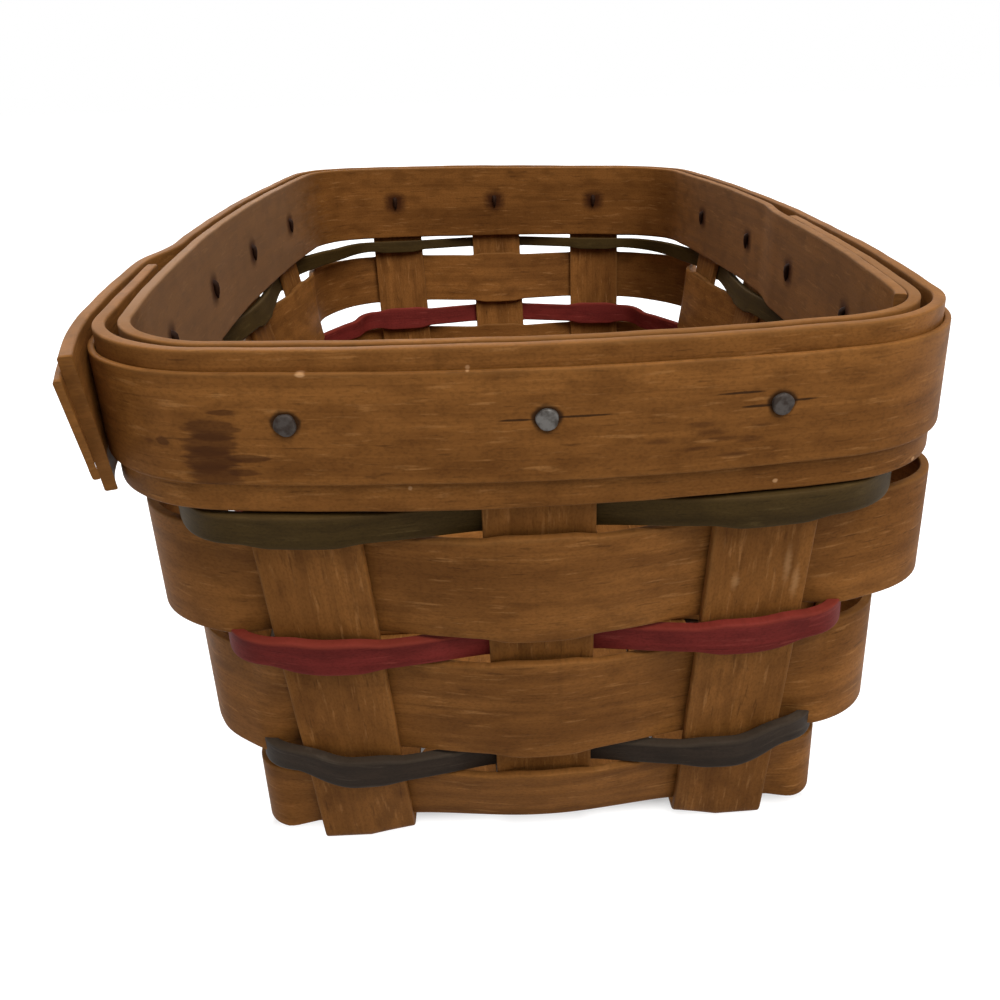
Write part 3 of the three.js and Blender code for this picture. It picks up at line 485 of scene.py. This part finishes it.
def tack_spot(k):
    """Where tack k sits: its seat on the upright's middle plane, its normal and tangent, and the distances
    out and in to the outermost and innermost faces it holds."""
    wall, place = UPRIGHTS[k]
    seat, normal, tangent = upright(wall, place, RIM_TOP)
    v = place * pitch(wall, RIM_TOP)
    out_face = TRIM_OFFSET + TRIM_THICK / 2 - UPRIGHT_OFFSET
    in_face = INNER_OFFSET - INNER_THICK / 2 - UPRIGHT_OFFSET
    if wall == LEFT and v > OUTER_LAP_START:
        out_face += OUTER_SHIFT
    if wall == RIGHT and v < -INNER_LAP_START:
        in_face -= INNER_SHIFT
    if wall == FRONT:
        seat = seat + tangent * FRONT_TACK_SHIFTS[int(place + 1)]
    seat[2] = RIM_TOP - TACK_DROP
    return seat, normal, tangent, out_face, in_face


TACKS = [tack_spot(k) for k in range(len(UPRIGHTS))]


def tack_marks(verts):
    """For each vertex, its distance along the band from the nearest tack, and its height above that tack."""
    away = verts[:, None] - np.array([spot[0] for spot in TACKS])
    nearest = np.argmin(np.linalg.norm(away, axis=2), axis=1)
    away = away[np.arange(len(verts)), nearest]
    tangents = np.array([spot[2] for spot in TACKS])[nearest]
    beside = np.abs(np.einsum("ij,ij->i", away, tangents))
    return {"tack": np.stack([beside, away[:, 2], np.zeros(len(verts))], -1)}


def band(cad_node, seed, start, end, offset, shift, top, height, thick, travel, free, slant, material):
    """A rim band: the rim outline pushed out by its offset, stepping smoothly over its own start where the
    tail laps. Past `free` the tail leaves the outline along its tangent with a steady curl, its top flares
    outward as the cube of the distance, and its end is cut at a slant. Travel is 1 anticlockwise and -1
    clockwise."""
    last = RIM.total + end
    run = np.linspace(start, last, int((last - start) / BAND_STEP))
    zero = RIM.starts[4 if travel > 0 else 0] + RIM.lengths[0] / 2
    out = offset + shift * smooth((run - RIM.total - start + LAP_RAMP_MARGIN + LAP_RAMP) / LAP_RAMP)
    loose = RIM.total + free
    point, normal = RIM.at(zero + travel * np.minimum(run, loose))
    beyond = np.maximum(0, run - loose)[:, None]
    forward = travel * np.stack([-normal[:, 1], normal[:, 0], np.zeros(len(run))], -1)
    middle = point + normal * (out[:, None] + TAIL_CURL * beyond ** 2 / 2) + forward * beyond
    middle[:, 2] = top - height / 2 + BAND_WAVER * drift(run, seed, BAND_WAVE)
    heading = unit(np.gradient(middle, axis=0))
    facing = unit(np.cross(heading, (0.0, 0.0, 1.0)) * travel)
    cut = heading * (slant * smooth((run - last + SLANT_RUN) / SLANT_RUN))[:, None]
    up = (0.0, 0.0, 1.0) + cut + facing * TAIL_FLARE * (beyond / TAIL_FLARE_RUN) ** 3
    # The top edge is drawn paler than the lower one: wear, and a painted highlight along the lit top
    strip(cad_node, middle, up, facing, height / 2, thick / 2, seed, material, across=16,
          wear_and_highlight=(0.6, 0.12), marks=tack_marks)


def tack(k, material):
    """A tack as one tube of circular rings: a low dome for the head, its rim, the shank, and the point turned
    down. Each ring is its centre plus radius times (cos, sin) in the plane across the path. The rust
    attribute is none on the front middle head, some on the other heads and full on the shank and point."""
    seat, normal, tangent, out_face, in_face = TACKS[k]
    up = np.array([0.0, 0.0, 1.0])
    back = out_face + HEAD_GAP
    dome = np.linspace(0.04, 1, DOME_RINGS)
    turn = in_face - SHANK_RADIUS * 0.8
    dome_depth = back + HEAD_THICK * (1 - HEAD_FALL * dome ** 4)
    head_depth = np.concatenate([dome_depth, [back + HEAD_EDGE, back, back]])
    shank_depth = np.linspace(back - 0.2, turn + 0.7, SHANK_RINGS)
    level = np.zeros(len(head_depth) + len(shank_depth))
    point_depth, point_drop, point_tilt, point_radius = POINT_RINGS.T
    depth = np.concatenate([head_depth, shank_depth, turn + point_depth])
    drop = np.concatenate([level, point_drop])
    tilt = np.concatenate([level, point_tilt])
    head_radius = HEAD_RADIUS * np.append(np.sin(dome * QUARTER), [1.0, 0.97])
    shank_radius = np.full(1 + len(shank_depth), SHANK_RADIUS)
    radius = np.concatenate([head_radius, shank_radius, point_radius])
    head_rust = 0.0 if UPRIGHTS[k] == (FRONT, 0.0) else HEAD_RUST + HEAD_RUST_STEP * (k % 4)
    rust = np.concatenate([np.full(len(head_depth), head_rust), np.ones(len(depth) - len(head_depth))])
    middle = seat + normal * depth[:, None] - up * drop[:, None]
    angle = np.linspace(0, 2 * math.pi, TACK_SIDES + 1)[:-1]
    lift = up * np.cos(tilt)[:, None] - normal * np.sin(tilt)[:, None]
    wobble = 1 + OUT_OF_ROUND[0] * np.sin(3 * angle + k) + OUT_OF_ROUND[1] * np.sin(5 * angle + 2 * k)
    spoke = radius[:, None] * wobble
    verts, faces = tube(middle[:, None] + (spoke * np.cos(angle))[..., None] * tangent
                        + (spoke * np.sin(angle))[..., None] * lift[:, None])
    wall = UPRIGHTS[k][0]
    number = k - [u[0] for u in UPRIGHTS].index(wall) + 1
    attributes = {"rust": np.repeat(rust, len(angle))}
    add_piece(f"tack_{WALL_NAMES[wall]}_{number}", "steel", verts, faces, attributes, material)


def srgb(text):
    """Linear colour of an sRGB hex code: a power of 2.4, straight near black."""
    parts = [int(text[i:i + 2], 16) / 255 for i in (0, 2, 4)]
    return tuple(c / 12.92 if c <= 0.04045 else ((c + 0.055) / 1.055) ** 2.4 for c in parts) + (1.0,)


def node(tree, kind, inputs=None, out=0, **settings):
    """Adds one shader node with its settings, sets or links its inputs, and gives back one of its outputs."""
    made = tree.nodes.new("ShaderNode" + kind)
    for key, value in settings.items():
        setattr(made, key, value)
    for key, value in (inputs or {}).items():
        if isinstance(value, bpy.types.NodeSocket):
            tree.links.new(value, made.inputs[key])
        else:
            made.inputs[key].default_value = value
    return made.outputs[out] if made.outputs else None


def emptied(owner):
    """The node tree of a material or world, with nothing in it."""
    owner.use_nodes = True
    owner.node_tree.nodes.clear()
    return owner.node_tree


class Pattern(NamedTuple):
    """A pattern of the grain: its size in mm along, across and through the strip, the noise detail, the part
    of the noise that shows, how strongly, and the colour it turns the wood to."""
    size: tuple
    detail: float
    low: float
    high: float
    strength: float
    colour: str


# Grain of a splint cut along the tree
GRAIN = {
    # early and late wood as soft bands a few mm wide
    "figure": Pattern((90.0, 3.3, 3.3), 3.0, 0.36, 0.68, 0.42, "dark"),
    # stain taken up unevenly, in clouds of a few cm
    "clouds": Pattern((40.0, 20.0, 17.0), 2.0, 0.4, 0.72, 0.45, "dark"),
    # mottling a few mm across
    "mottle": Pattern((7.0, 3.3, 5.0), 4.0, 0.44, 0.7, 0.5, "dark"),
    # fine dark streaks half a mm apart
    "streaks": Pattern((28.0, 0.5, 2.0), 2.0, 0.46, 0.76, 0.28, "dark"),
    # fine paler streaks between them
    "sheen lines": Pattern((17.0, 0.66, 2.0), 2.0, 0.56, 0.78, 0.35, "light"),
    # short dark flecks of cut rays
    "flecks": Pattern((5.0, 0.53, 1.7), 2.0, 0.63, 0.75, 0.42, "fleck"),
    # short pale streaks along the grain: a painted sheen
    "fibres": Pattern((6.2, 0.76, 2.0), 3.0, 0.58, 0.76, 0.42, "fibre"),
    # faint marks left across the strip by the splitting knife
    "knife marks": Pattern((1.4, 33.0, 10.0), 1.0, 0.56, 0.8, 0.12, "fleck"),
    # tooth of raw wood, drawn coarser than the real pores so that it shows
    "tooth": Pattern((0.55, 0.33, 1.0), 1.0, 0.4, 0.75, 0.24, "fleck"),
}
# Size in mm of the tears along a mark's edge, and of the blotches on a tack
TEAR = (3.3, 3.3, 0.62)
BLOTCH = 1.1


class Mark(NamedTuple):
    """A stain, split or scuff: an ellipsoid in the mm of a point attribute, with its centre, half sizes, the
    softness of its edge, its strength and its colour."""
    attribute: str
    centre: tuple
    half: tuple
    soft: float
    strength: float
    colour: str


def wood(name, colours, rough, marks=()):
    """Splint of stained wood. The grain patterns are laid over the light colour in turn, then the paler
    edges, worn and along the top a painted highlight, then the piece's own marks, their outlines made ragged
    along the grain by noise."""
    material = bpy.data.materials.new(name)
    tree = emptied(material)
    grain = node(tree, "Attribute", out="Vector", attribute_name="grain")
    edge = node(tree, "Attribute", out="Fac", attribute_name="edge")
    base, noises = srgb(colours["light"]), {}
    for key, pattern in GRAIN.items():
        place = node(tree, "VectorMath", {0: grain, 1: pattern.size}, operation="DIVIDE")
        noises[key] = node(tree, "TexNoise", {"Vector": place, "Scale": 1.0, "Detail": pattern.detail})
        share = node(tree, "MapRange", {"Value": noises[key], "From Min": pattern.low,
                                        "From Max": pattern.high, "To Max": pattern.strength},
                     interpolation_type="SMOOTHSTEP")
        base = node(tree, "Mix", {0: share, 6: base, 7: srgb(colours[pattern.colour])}, 2, data_type="RGBA")
    # Paler edges: wear, and on the upper edges a painted highlight
    wear_and_highlight = node(tree, "MapRange", {"Value": noises["clouds"], "From Min": 0.3, "From Max": 0.6,
                                   "To Min": 0.25, "To Max": 0.85})
    wear_and_highlight = node(tree, "Math", {0: wear_and_highlight, 1: edge}, operation="MULTIPLY")
    base = node(tree, "Mix", {0: wear_and_highlight, 6: base, 7: srgb(colours["pale"])}, 2, data_type="RGBA")
    for mark in marks:
        spot = node(tree, "Attribute", out="Vector", attribute_name=mark.attribute)
        torn = node(tree, "VectorMath", {0: spot, 1: TEAR}, operation="DIVIDE")
        torn = node(tree, "TexNoise", {"Vector": torn, "Scale": 1.0, "Detail": 3.0}, "Color")
        torn = node(tree, "VectorMath", {0: torn, 1: (0.5, 0.5, 0.5)}, operation="SUBTRACT")
        place = node(tree, "VectorMath", {0: spot, 1: mark.centre}, operation="SUBTRACT")
        place = node(tree, "VectorMath", {0: place, 1: mark.half}, operation="DIVIDE")
        place = node(tree, "VectorMath", {0: torn, 1: (1.1, 0.0, 0.5), 2: place}, operation="MULTIPLY_ADD")
        share = node(tree, "TexGradient", {"Vector": place}, 1, gradient_type="SPHERICAL")
        share = node(tree, "MapRange", {"Value": share, "From Max": mark.soft, "To Max": mark.strength},
                     interpolation_type="SMOOTHSTEP")
        base = node(tree, "Mix", {0: share, 6: base, 7: srgb(mark.colour)}, 2, data_type="RGBA")
    roughness = node(tree, "MapRange", {"Value": noises["clouds"], "From Min": 0.2, "From Max": 0.8,
                                        "To Min": rough - 0.1, "To Max": rough + 0.1})
    height = node(tree, "Math", {0: noises["streaks"], 1: noises["figure"]}, operation="ADD")
    bump = node(tree, "Bump", {"Height": height, "Strength": 0.35, "Distance": 0.1 * MM})
    surface = node(tree, "BsdfPrincipled", {"Base Color": base, "Roughness": roughness, "IOR": 1.5,
                                            "Specular IOR Level": 0.05, "Normal": bump})
    node(tree, "OutputMaterial", {"Surface": surface})
    return material


def steel():
    """Cut-tack steel: dull grey heads blotched with brown, dark rust on the points turned over inside."""
    material = bpy.data.materials.new("tack steel, dulled and rusted")
    tree = emptied(material)
    spot = node(tree, "TexCoord", out="Object")
    rust = node(tree, "Attribute", out="Fac", attribute_name="rust")
    blotch = node(tree, "TexNoise", {"Vector": spot, "Scale": 1 / (BLOTCH * MM), "Detail": 4.0})
    share = node(tree, "MapRange", {"Value": blotch, "From Min": 0.44, "From Max": 0.64, "To Max": 0.75})
    colour = node(tree, "Mix", {0: share, 6: srgb("625f5c"), 7: srgb("38322d")}, 2, data_type="RGBA")
    colour = node(tree, "Mix", {0: rust, 6: colour, 7: srgb("27150b")}, 2, data_type="RGBA")
    metal = node(tree, "MapRange", {"Value": rust, "To Min": 0.85, "To Max": 0.0})
    roughness = node(tree, "MapRange", {"Value": blotch, "To Min": 0.45, "To Max": 0.85})
    bump = node(tree, "Bump", {"Height": blotch, "Strength": 0.4, "Distance": 0.2 * MM})
    surface = node(tree, "BsdfPrincipled", {"Base Color": colour, "Metallic": metal, "Roughness": roughness,
                                            "Specular IOR Level": 0.1, "Normal": bump})
    node(tree, "OutputMaterial", {"Surface": surface})
    return material


NATURAL = {"light": "8d5c2c", "dark": "5a3615", "fleck": "361f0d", "pale": "80582f", "fibre": "b07d49"}
GREEN = {"light": "453519", "dark": "2c200d", "fleck": "1a1307", "pale": "574428", "fibre": "5f4d2c"}
RED = {"light": "7b2d28", "dark": "501a17", "fleck": "340e0c", "pale": "8a3c2c", "fibre": "94463c"}
BLUE = {"light": "352b23", "dark": "211a15", "fleck": "130f0c", "pale": "54493d", "fibre": "54493e"}
IRON_BLACK, SOAKED, RUST_BROWN = "1c110a", "3a1f0e", "30140c"
# Pale bare wood of chips, rubbed wood of scuffs, and the grey of the painted sheen on the inner long walls
BARE_WOOD, RUBBED, SHEEN_GREY = "c09468", "b98c5e", "8e7056"
# Place of the front band lengthwise, and a depth that takes a mark right through the wood
FRONT_FACE, THROUGH = -112.0, 40.0

# Iron stain in a ring round each tack head
RING = [Mark("tack", (0.0, 0.0, 0.0), (2.3, 2.3, THROUGH), 0.35, 0.85, IRON_BLACK)]
# Dark patch on the front: streaks along the grain one above the other, some reaching out as fingers
PATCH = [Mark("spot", (x, FRONT_FACE, z), (half, THROUGH, tall), 0.4, 0.64, SOAKED)
         for x, z, half, tall in [(-42.8, 77.4, 4.6, 2.4), (-43.4, 79.4, 4.8, 2.4), (-43.2, 81.6, 4.6, 2.4),
                                  (-42.6, 83.6, 4.4, 1.9), (-38.4, 79.6, 3.6, 0.7), (-40.6, 86.0, 2.4, 0.5),
                                  (-38.9, 77.6, 2.6, 0.6), (-49.6, 81.6, 1.2, 0.7)]]
# Splits along the grain from the front tacks
SPLITS = [Mark("spot", (x, FRONT_FACE, z), (half, THROUGH, 0.22), 0.5, 0.8, IRON_BLACK)
          for x, z, half in [(6.0, 84.6, 5.0), (-2.6, 84.4, 3.0), (29.4, 84.3, 3.0), (35.0, 84.7, 3.4),
                             (27.0, 86.3, 4.4)]]
# Smudged streaks on the front, most of them right of the middle
SMUDGES = [Mark("spot", (x, FRONT_FACE, z), (half, THROUGH, tall), 0.8, 0.5, SOAKED)
           for x, z, half, tall in [(21.5, 82.3, 2.6, 0.6), (23.0, 81.2, 3.2, 0.8), (24.5, 80.2, 2.8, 0.5),
                                    (21.0, 79.0, 3.4, 0.45), (28.0, 79.8, 2.6, 0.7), (26.0, 77.8, 2.8, 0.5),
                                    (16.0, 80.4, 2.6, 0.6), (-51.7, 81.4, 1.4, 0.6), (30.0, 81.6, 2.0, 0.4)]]
# Chips where the stain has come off
NICKS = [Mark("spot", (x, y, z), (half, 8.0, 0.4), 0.6, 0.75, BARE_WOOD)
         for x, y, z, half in [(32.6, -110.0, 72.9, 0.5), (55.1, -103.0, 72.0, 0.5),
                               (-8.6, -112.0, 91.3, 0.4), (-17.2, -112.0, 74.9, 0.4),
                               (-29.8, -111.0, 91.0, 0.8)]]
# Scuffs down the right-hand front splint
SCUFFS = [Mark("spot", (x, -103.0, z), (0.9, 20.0, half), 0.9, 0.45, RUBBED)
          for x, z, half in [(37.0, 57.0, 5.0), (38.6, 53.5, 4.0), (29.1, 54.8, 2.2)]]
# Rust weeping from the points turned over inside
WEEPS = [Mark("tack", (0.0, -1.2, 0.0), (5.0, 4.4, THROUGH), 0.7, 0.85, RUST_BROWN)]
# Painted sheen and light inside the long walls: a greyer, paler patch, stronger on the left wall, which faces
# the lamps
PAINTED_WALL_SHEEN = [Mark("spot", (x, -10.0, 83.0), (16.0, 130.0, 60.0), 0.5, share, SHEEN_GREY)
          for x, share in [(-62.0, 0.5), (62.0, 0.2)]]

WOODS = {
    # split ash under an oil stain: a soft satin brown, streaked along the strip
    "natural": wood("ash splint, oil stained", NATURAL, 0.58),
    # the same with the stain rubbed thin: pale upright scratches
    "scuffed": wood("ash splint, oil stained and scuffed", NATURAL, 0.58, SCUFFS),
    # heavier ash band, handled most: a little smoother, with dark rings, splits, a soaked patch, pale chips
    "rim": wood("ash rim band, oil stained, split and chipped at the tacks", NATURAL, 0.56,
                RING + PATCH + SPLITS + SMUDGES + NICKS),
    # its inner face: duller, with a painted grey sheen on the long walls and red-brown rust round each tack
    # point
    "inner rim": wood("ash rim band, oil stained, rust-marked inside", NATURAL, 0.6, PAINTED_WALL_SHEEN + WEEPS),
    # dyed splint under the same stain: the dye shows as a dull dark olive
    "green": wood("ash splint, dyed green and stained", GREEN, 0.6),
    # a brick red, paler along its edges: worn, and along the top edge a painted highlight
    "red": wood("ash splint, dyed red and stained", RED, 0.6),
    # a blue gone nearly black under the brown stain
    "blue": wood("ash splint, dyed blue and stained", BLUE, 0.6),
}

for index, row in enumerate(ROWS):
    weaver(index, WOODS[row.finish])

# The base: three lengthwise splints with a filler between each two, crossed over and under by four splints
STRIP_PLACES = np.arange(5) / 2 - 1
STRIP_NAMES = ("lengthwise_splint_left", "base_filler_left", "lengthwise_splint_middle", "base_filler_right",
               "lengthwise_splint_right")
CROSS_NAMES = ("crosswise_splint_front", "crosswise_splint_front_middle", "crosswise_splint_back_middle",
               "crosswise_splint_back")
LENGTHWISE_OVER = (np.arange(5)[:, None] + np.arange(4)[None]) % 2 == 0
for i, name in enumerate(STRIP_NAMES):
    crossings = [(-other * CROSSWISE_PITCH[0], HIGH if LENGTHWISE_OVER[i, j] else LOW, SPLINT_WIDTH / 2)
                 for j, other in enumerate(PLACES[RIGHT])]
    if name.startswith("base_filler"):
        filler(name, float(STRIP_PLACES[i]), crossings, 11 + i, WOODS["natural"])
    else:
        finish = WOODS["scuffed" if name.endswith("right") else "natural"]
        splint(name, FRONT, float(STRIP_PLACES[i]), crossings, 11 + i, finish)
for j, name in enumerate(CROSS_NAMES):
    crossings = [(other * LENGTHWISE_PITCH[0], LOW if LENGTHWISE_OVER[i, j] else HIGH,
                  FILLER_HALF if i % 2 else SPLINT_WIDTH / 2) for i, other in enumerate(STRIP_PLACES)]
    splint(name, RIGHT, float(PLACES[RIGHT][j]), crossings[::-1], 21 + j, WOODS["natural"])

band("outer_rim_band", 31, OUTER_LAP_START, OUTER_LAP_END, -BAND_THICK / 2, OUTER_SHIFT, RIM_TOP,
     BAND_HEIGHT, BAND_THICK, 1, TAIL_FREE_FROM, OUTER_SLANT, WOODS["rim"])
band("rim_trim_strip", 32, OUTER_LAP_START, TRIM_LAP_END, TRIM_OFFSET, OUTER_SHIFT, RIM_TOP - TRIM_DROP,
     TRIM_HEIGHT, TRIM_THICK, 1, TAIL_FREE_FROM, TRIM_SLANT, WOODS["rim"])
band("inner_rim_band", 33, INNER_LAP_START, INNER_LAP_END, INNER_OFFSET, -INNER_SHIFT, RIM_TOP,
     INNER_HEIGHT, INNER_THICK, -1, INNER_LAP_END, 0.0, WOODS["inner rim"])
tack_steel = steel()
for k in range(len(TACKS)):
    tack(k, tack_steel)


def seen(tree):
    """1 for rays that reach the eye straight, by reflection or through glass, and 0 for rays that only
    light: the three light path flags added and held to 1."""
    eye = node(tree, "LightPath", out="Is Camera Ray")
    mirror = node(tree, "LightPath", out="Is Glossy Ray")
    through = node(tree, "LightPath", out="Is Transmission Ray")
    share = node(tree, "Math", {0: eye, 1: mirror}, operation="ADD")
    return node(tree, "Math", {0: share, 1: through}, operation="ADD", use_clamp=True)


WHITE = (1.0, 1.0, 1.0, 1.0)
GROUND_HALF, GROUND_HEIGHT = 3.0, -0.4 * MM
# Half width and half length in mm of the ground that lies in the basket's own shadow, under the base
SHADED_HALF_WIDTH, SHADED_HALF_LENGTH = 51.0, 93.5

# Matt white card: it takes light and shadow, and outside the shaded part adds a white glow that only the eye
# and reflections see
card = bpy.data.materials.new("white card ground")
tree = emptied(card)
place = node(tree, "TexCoord", out="Object")
place = node(tree, "VectorMath", {0: place, 1: (RACK * MM, 0.0, 0.0)}, operation="SUBTRACT")
place = node(tree, "VectorMath", {0: place, 1: (SHADED_HALF_WIDTH * MM, SHADED_HALF_LENGTH * MM, 1.0)},
             operation="DIVIDE")
place = node(tree, "VectorMath", {0: place}, operation="ABSOLUTE")
across = node(tree, "SeparateXYZ", {0: place}, "X")
along = node(tree, "SeparateXYZ", {0: place}, "Y")
outside = node(tree, "Math", {0: across, 1: along}, operation="MAXIMUM")
outside = node(tree, "MapRange", {"Value": outside, "From Min": 0.9, "From Max": 1.0, "To Max": 0.95})
glow = node(tree, "Math", {0: seen(tree), 1: outside}, operation="MULTIPLY")
glow = node(tree, "Emission", {"Color": WHITE, "Strength": glow})
paper = node(tree, "BsdfDiffuse", {"Color": (0.5, 0.5, 0.5, 1.0)})
paper = node(tree, "AddShader", {0: paper, 1: glow})
node(tree, "OutputMaterial", {"Surface": paper})
ground = bpy.data.meshes.new("ground")
ground.from_pydata([(x * GROUND_HALF, y * GROUND_HALF, GROUND_HEIGHT)
                    for x, y in [(-1, -1), (1, -1), (1, 1), (-1, 1)]], [], [(0, 1, 2, 3)])
ground.materials.append(card)
floor = bpy.data.objects.new("ground", ground)
bpy.context.scene.collection.objects.link(floor)


def put(obj, place, right, up):
    """Puts a lamp or camera at place, its x axis along right and its y axis along up."""
    bpy.context.scene.collection.objects.link(obj)
    turn = Matrix(np.stack([right, up, np.cross(right, up)], 1).tolist()).to_4x4()
    obj.matrix_world = Matrix.Translation(place) @ turn


# Soft square lamps: place and aim in metres, size in metres, power in watts, colour
LAMPS = {
    "window": ((0.5, -0.75, 1.15), (0.0, -0.05, 0.05), 0.9, 16.0, (1.0, 0.98, 0.95)),
    "far wall": ((-0.5, 1.0, 0.7), (0.0, 0.0, 0.05), 1.2, 5.0, (1.0, 0.98, 0.96)),
    "ceiling": ((-0.25, 0.05, 1.4), (0.0, 0.0, 0.05), 1.5, 14.0, (1.0, 0.98, 0.96)),
}
for name, (place, aim, size, power, colour) in LAMPS.items():
    lamp = bpy.data.lights.new(name, "AREA")
    lamp.size = size
    lamp.energy = power
    lamp.color = colour
    back = unit(np.subtract(place, aim))
    right = unit(np.cross((0.0, 0.0, 1.0), back))
    put(bpy.data.objects.new(name, lamp), place, right, np.cross(back, right))

# Studio air: dim fill light, white where it is seen
world = bpy.data.worlds.new("studio")
bpy.context.scene.world = world
sky = emptied(world)
level = node(sky, "MapRange", {"Value": seen(sky), "To Min": 0.2, "To Max": 1.0})
air = node(sky, "Background", {"Color": WHITE, "Strength": level})
node(sky, "OutputWorld", {"Surface": air})

# Camera fitted to the photo: its place in metres, and its turns in radians
CAMERA_PLACE = (-0.00727, -0.23544, 0.12714)
YAW, TIP, ROLL = 0.019, 0.418, -0.0284
forward = np.array([math.sin(YAW) * math.cos(TIP), math.cos(YAW) * math.cos(TIP), -math.sin(TIP)])
level_right = np.array([math.cos(YAW), -math.sin(YAW), 0.0])
level_up = np.cross(level_right, forward)
right = math.cos(ROLL) * level_right + math.sin(ROLL) * level_up
up = -math.sin(ROLL) * level_right + math.cos(ROLL) * level_up
lens = bpy.data.cameras.new("camera")
lens.sensor_width = 36.0
lens.lens = 36.0
lens.clip_start = 0.01
camera = bpy.data.objects.new("camera", lens)
put(camera, CAMERA_PLACE, right, up)
bpy.context.scene.camera = camera
bpy.context.scene.view_settings.view_transform = "Standard"
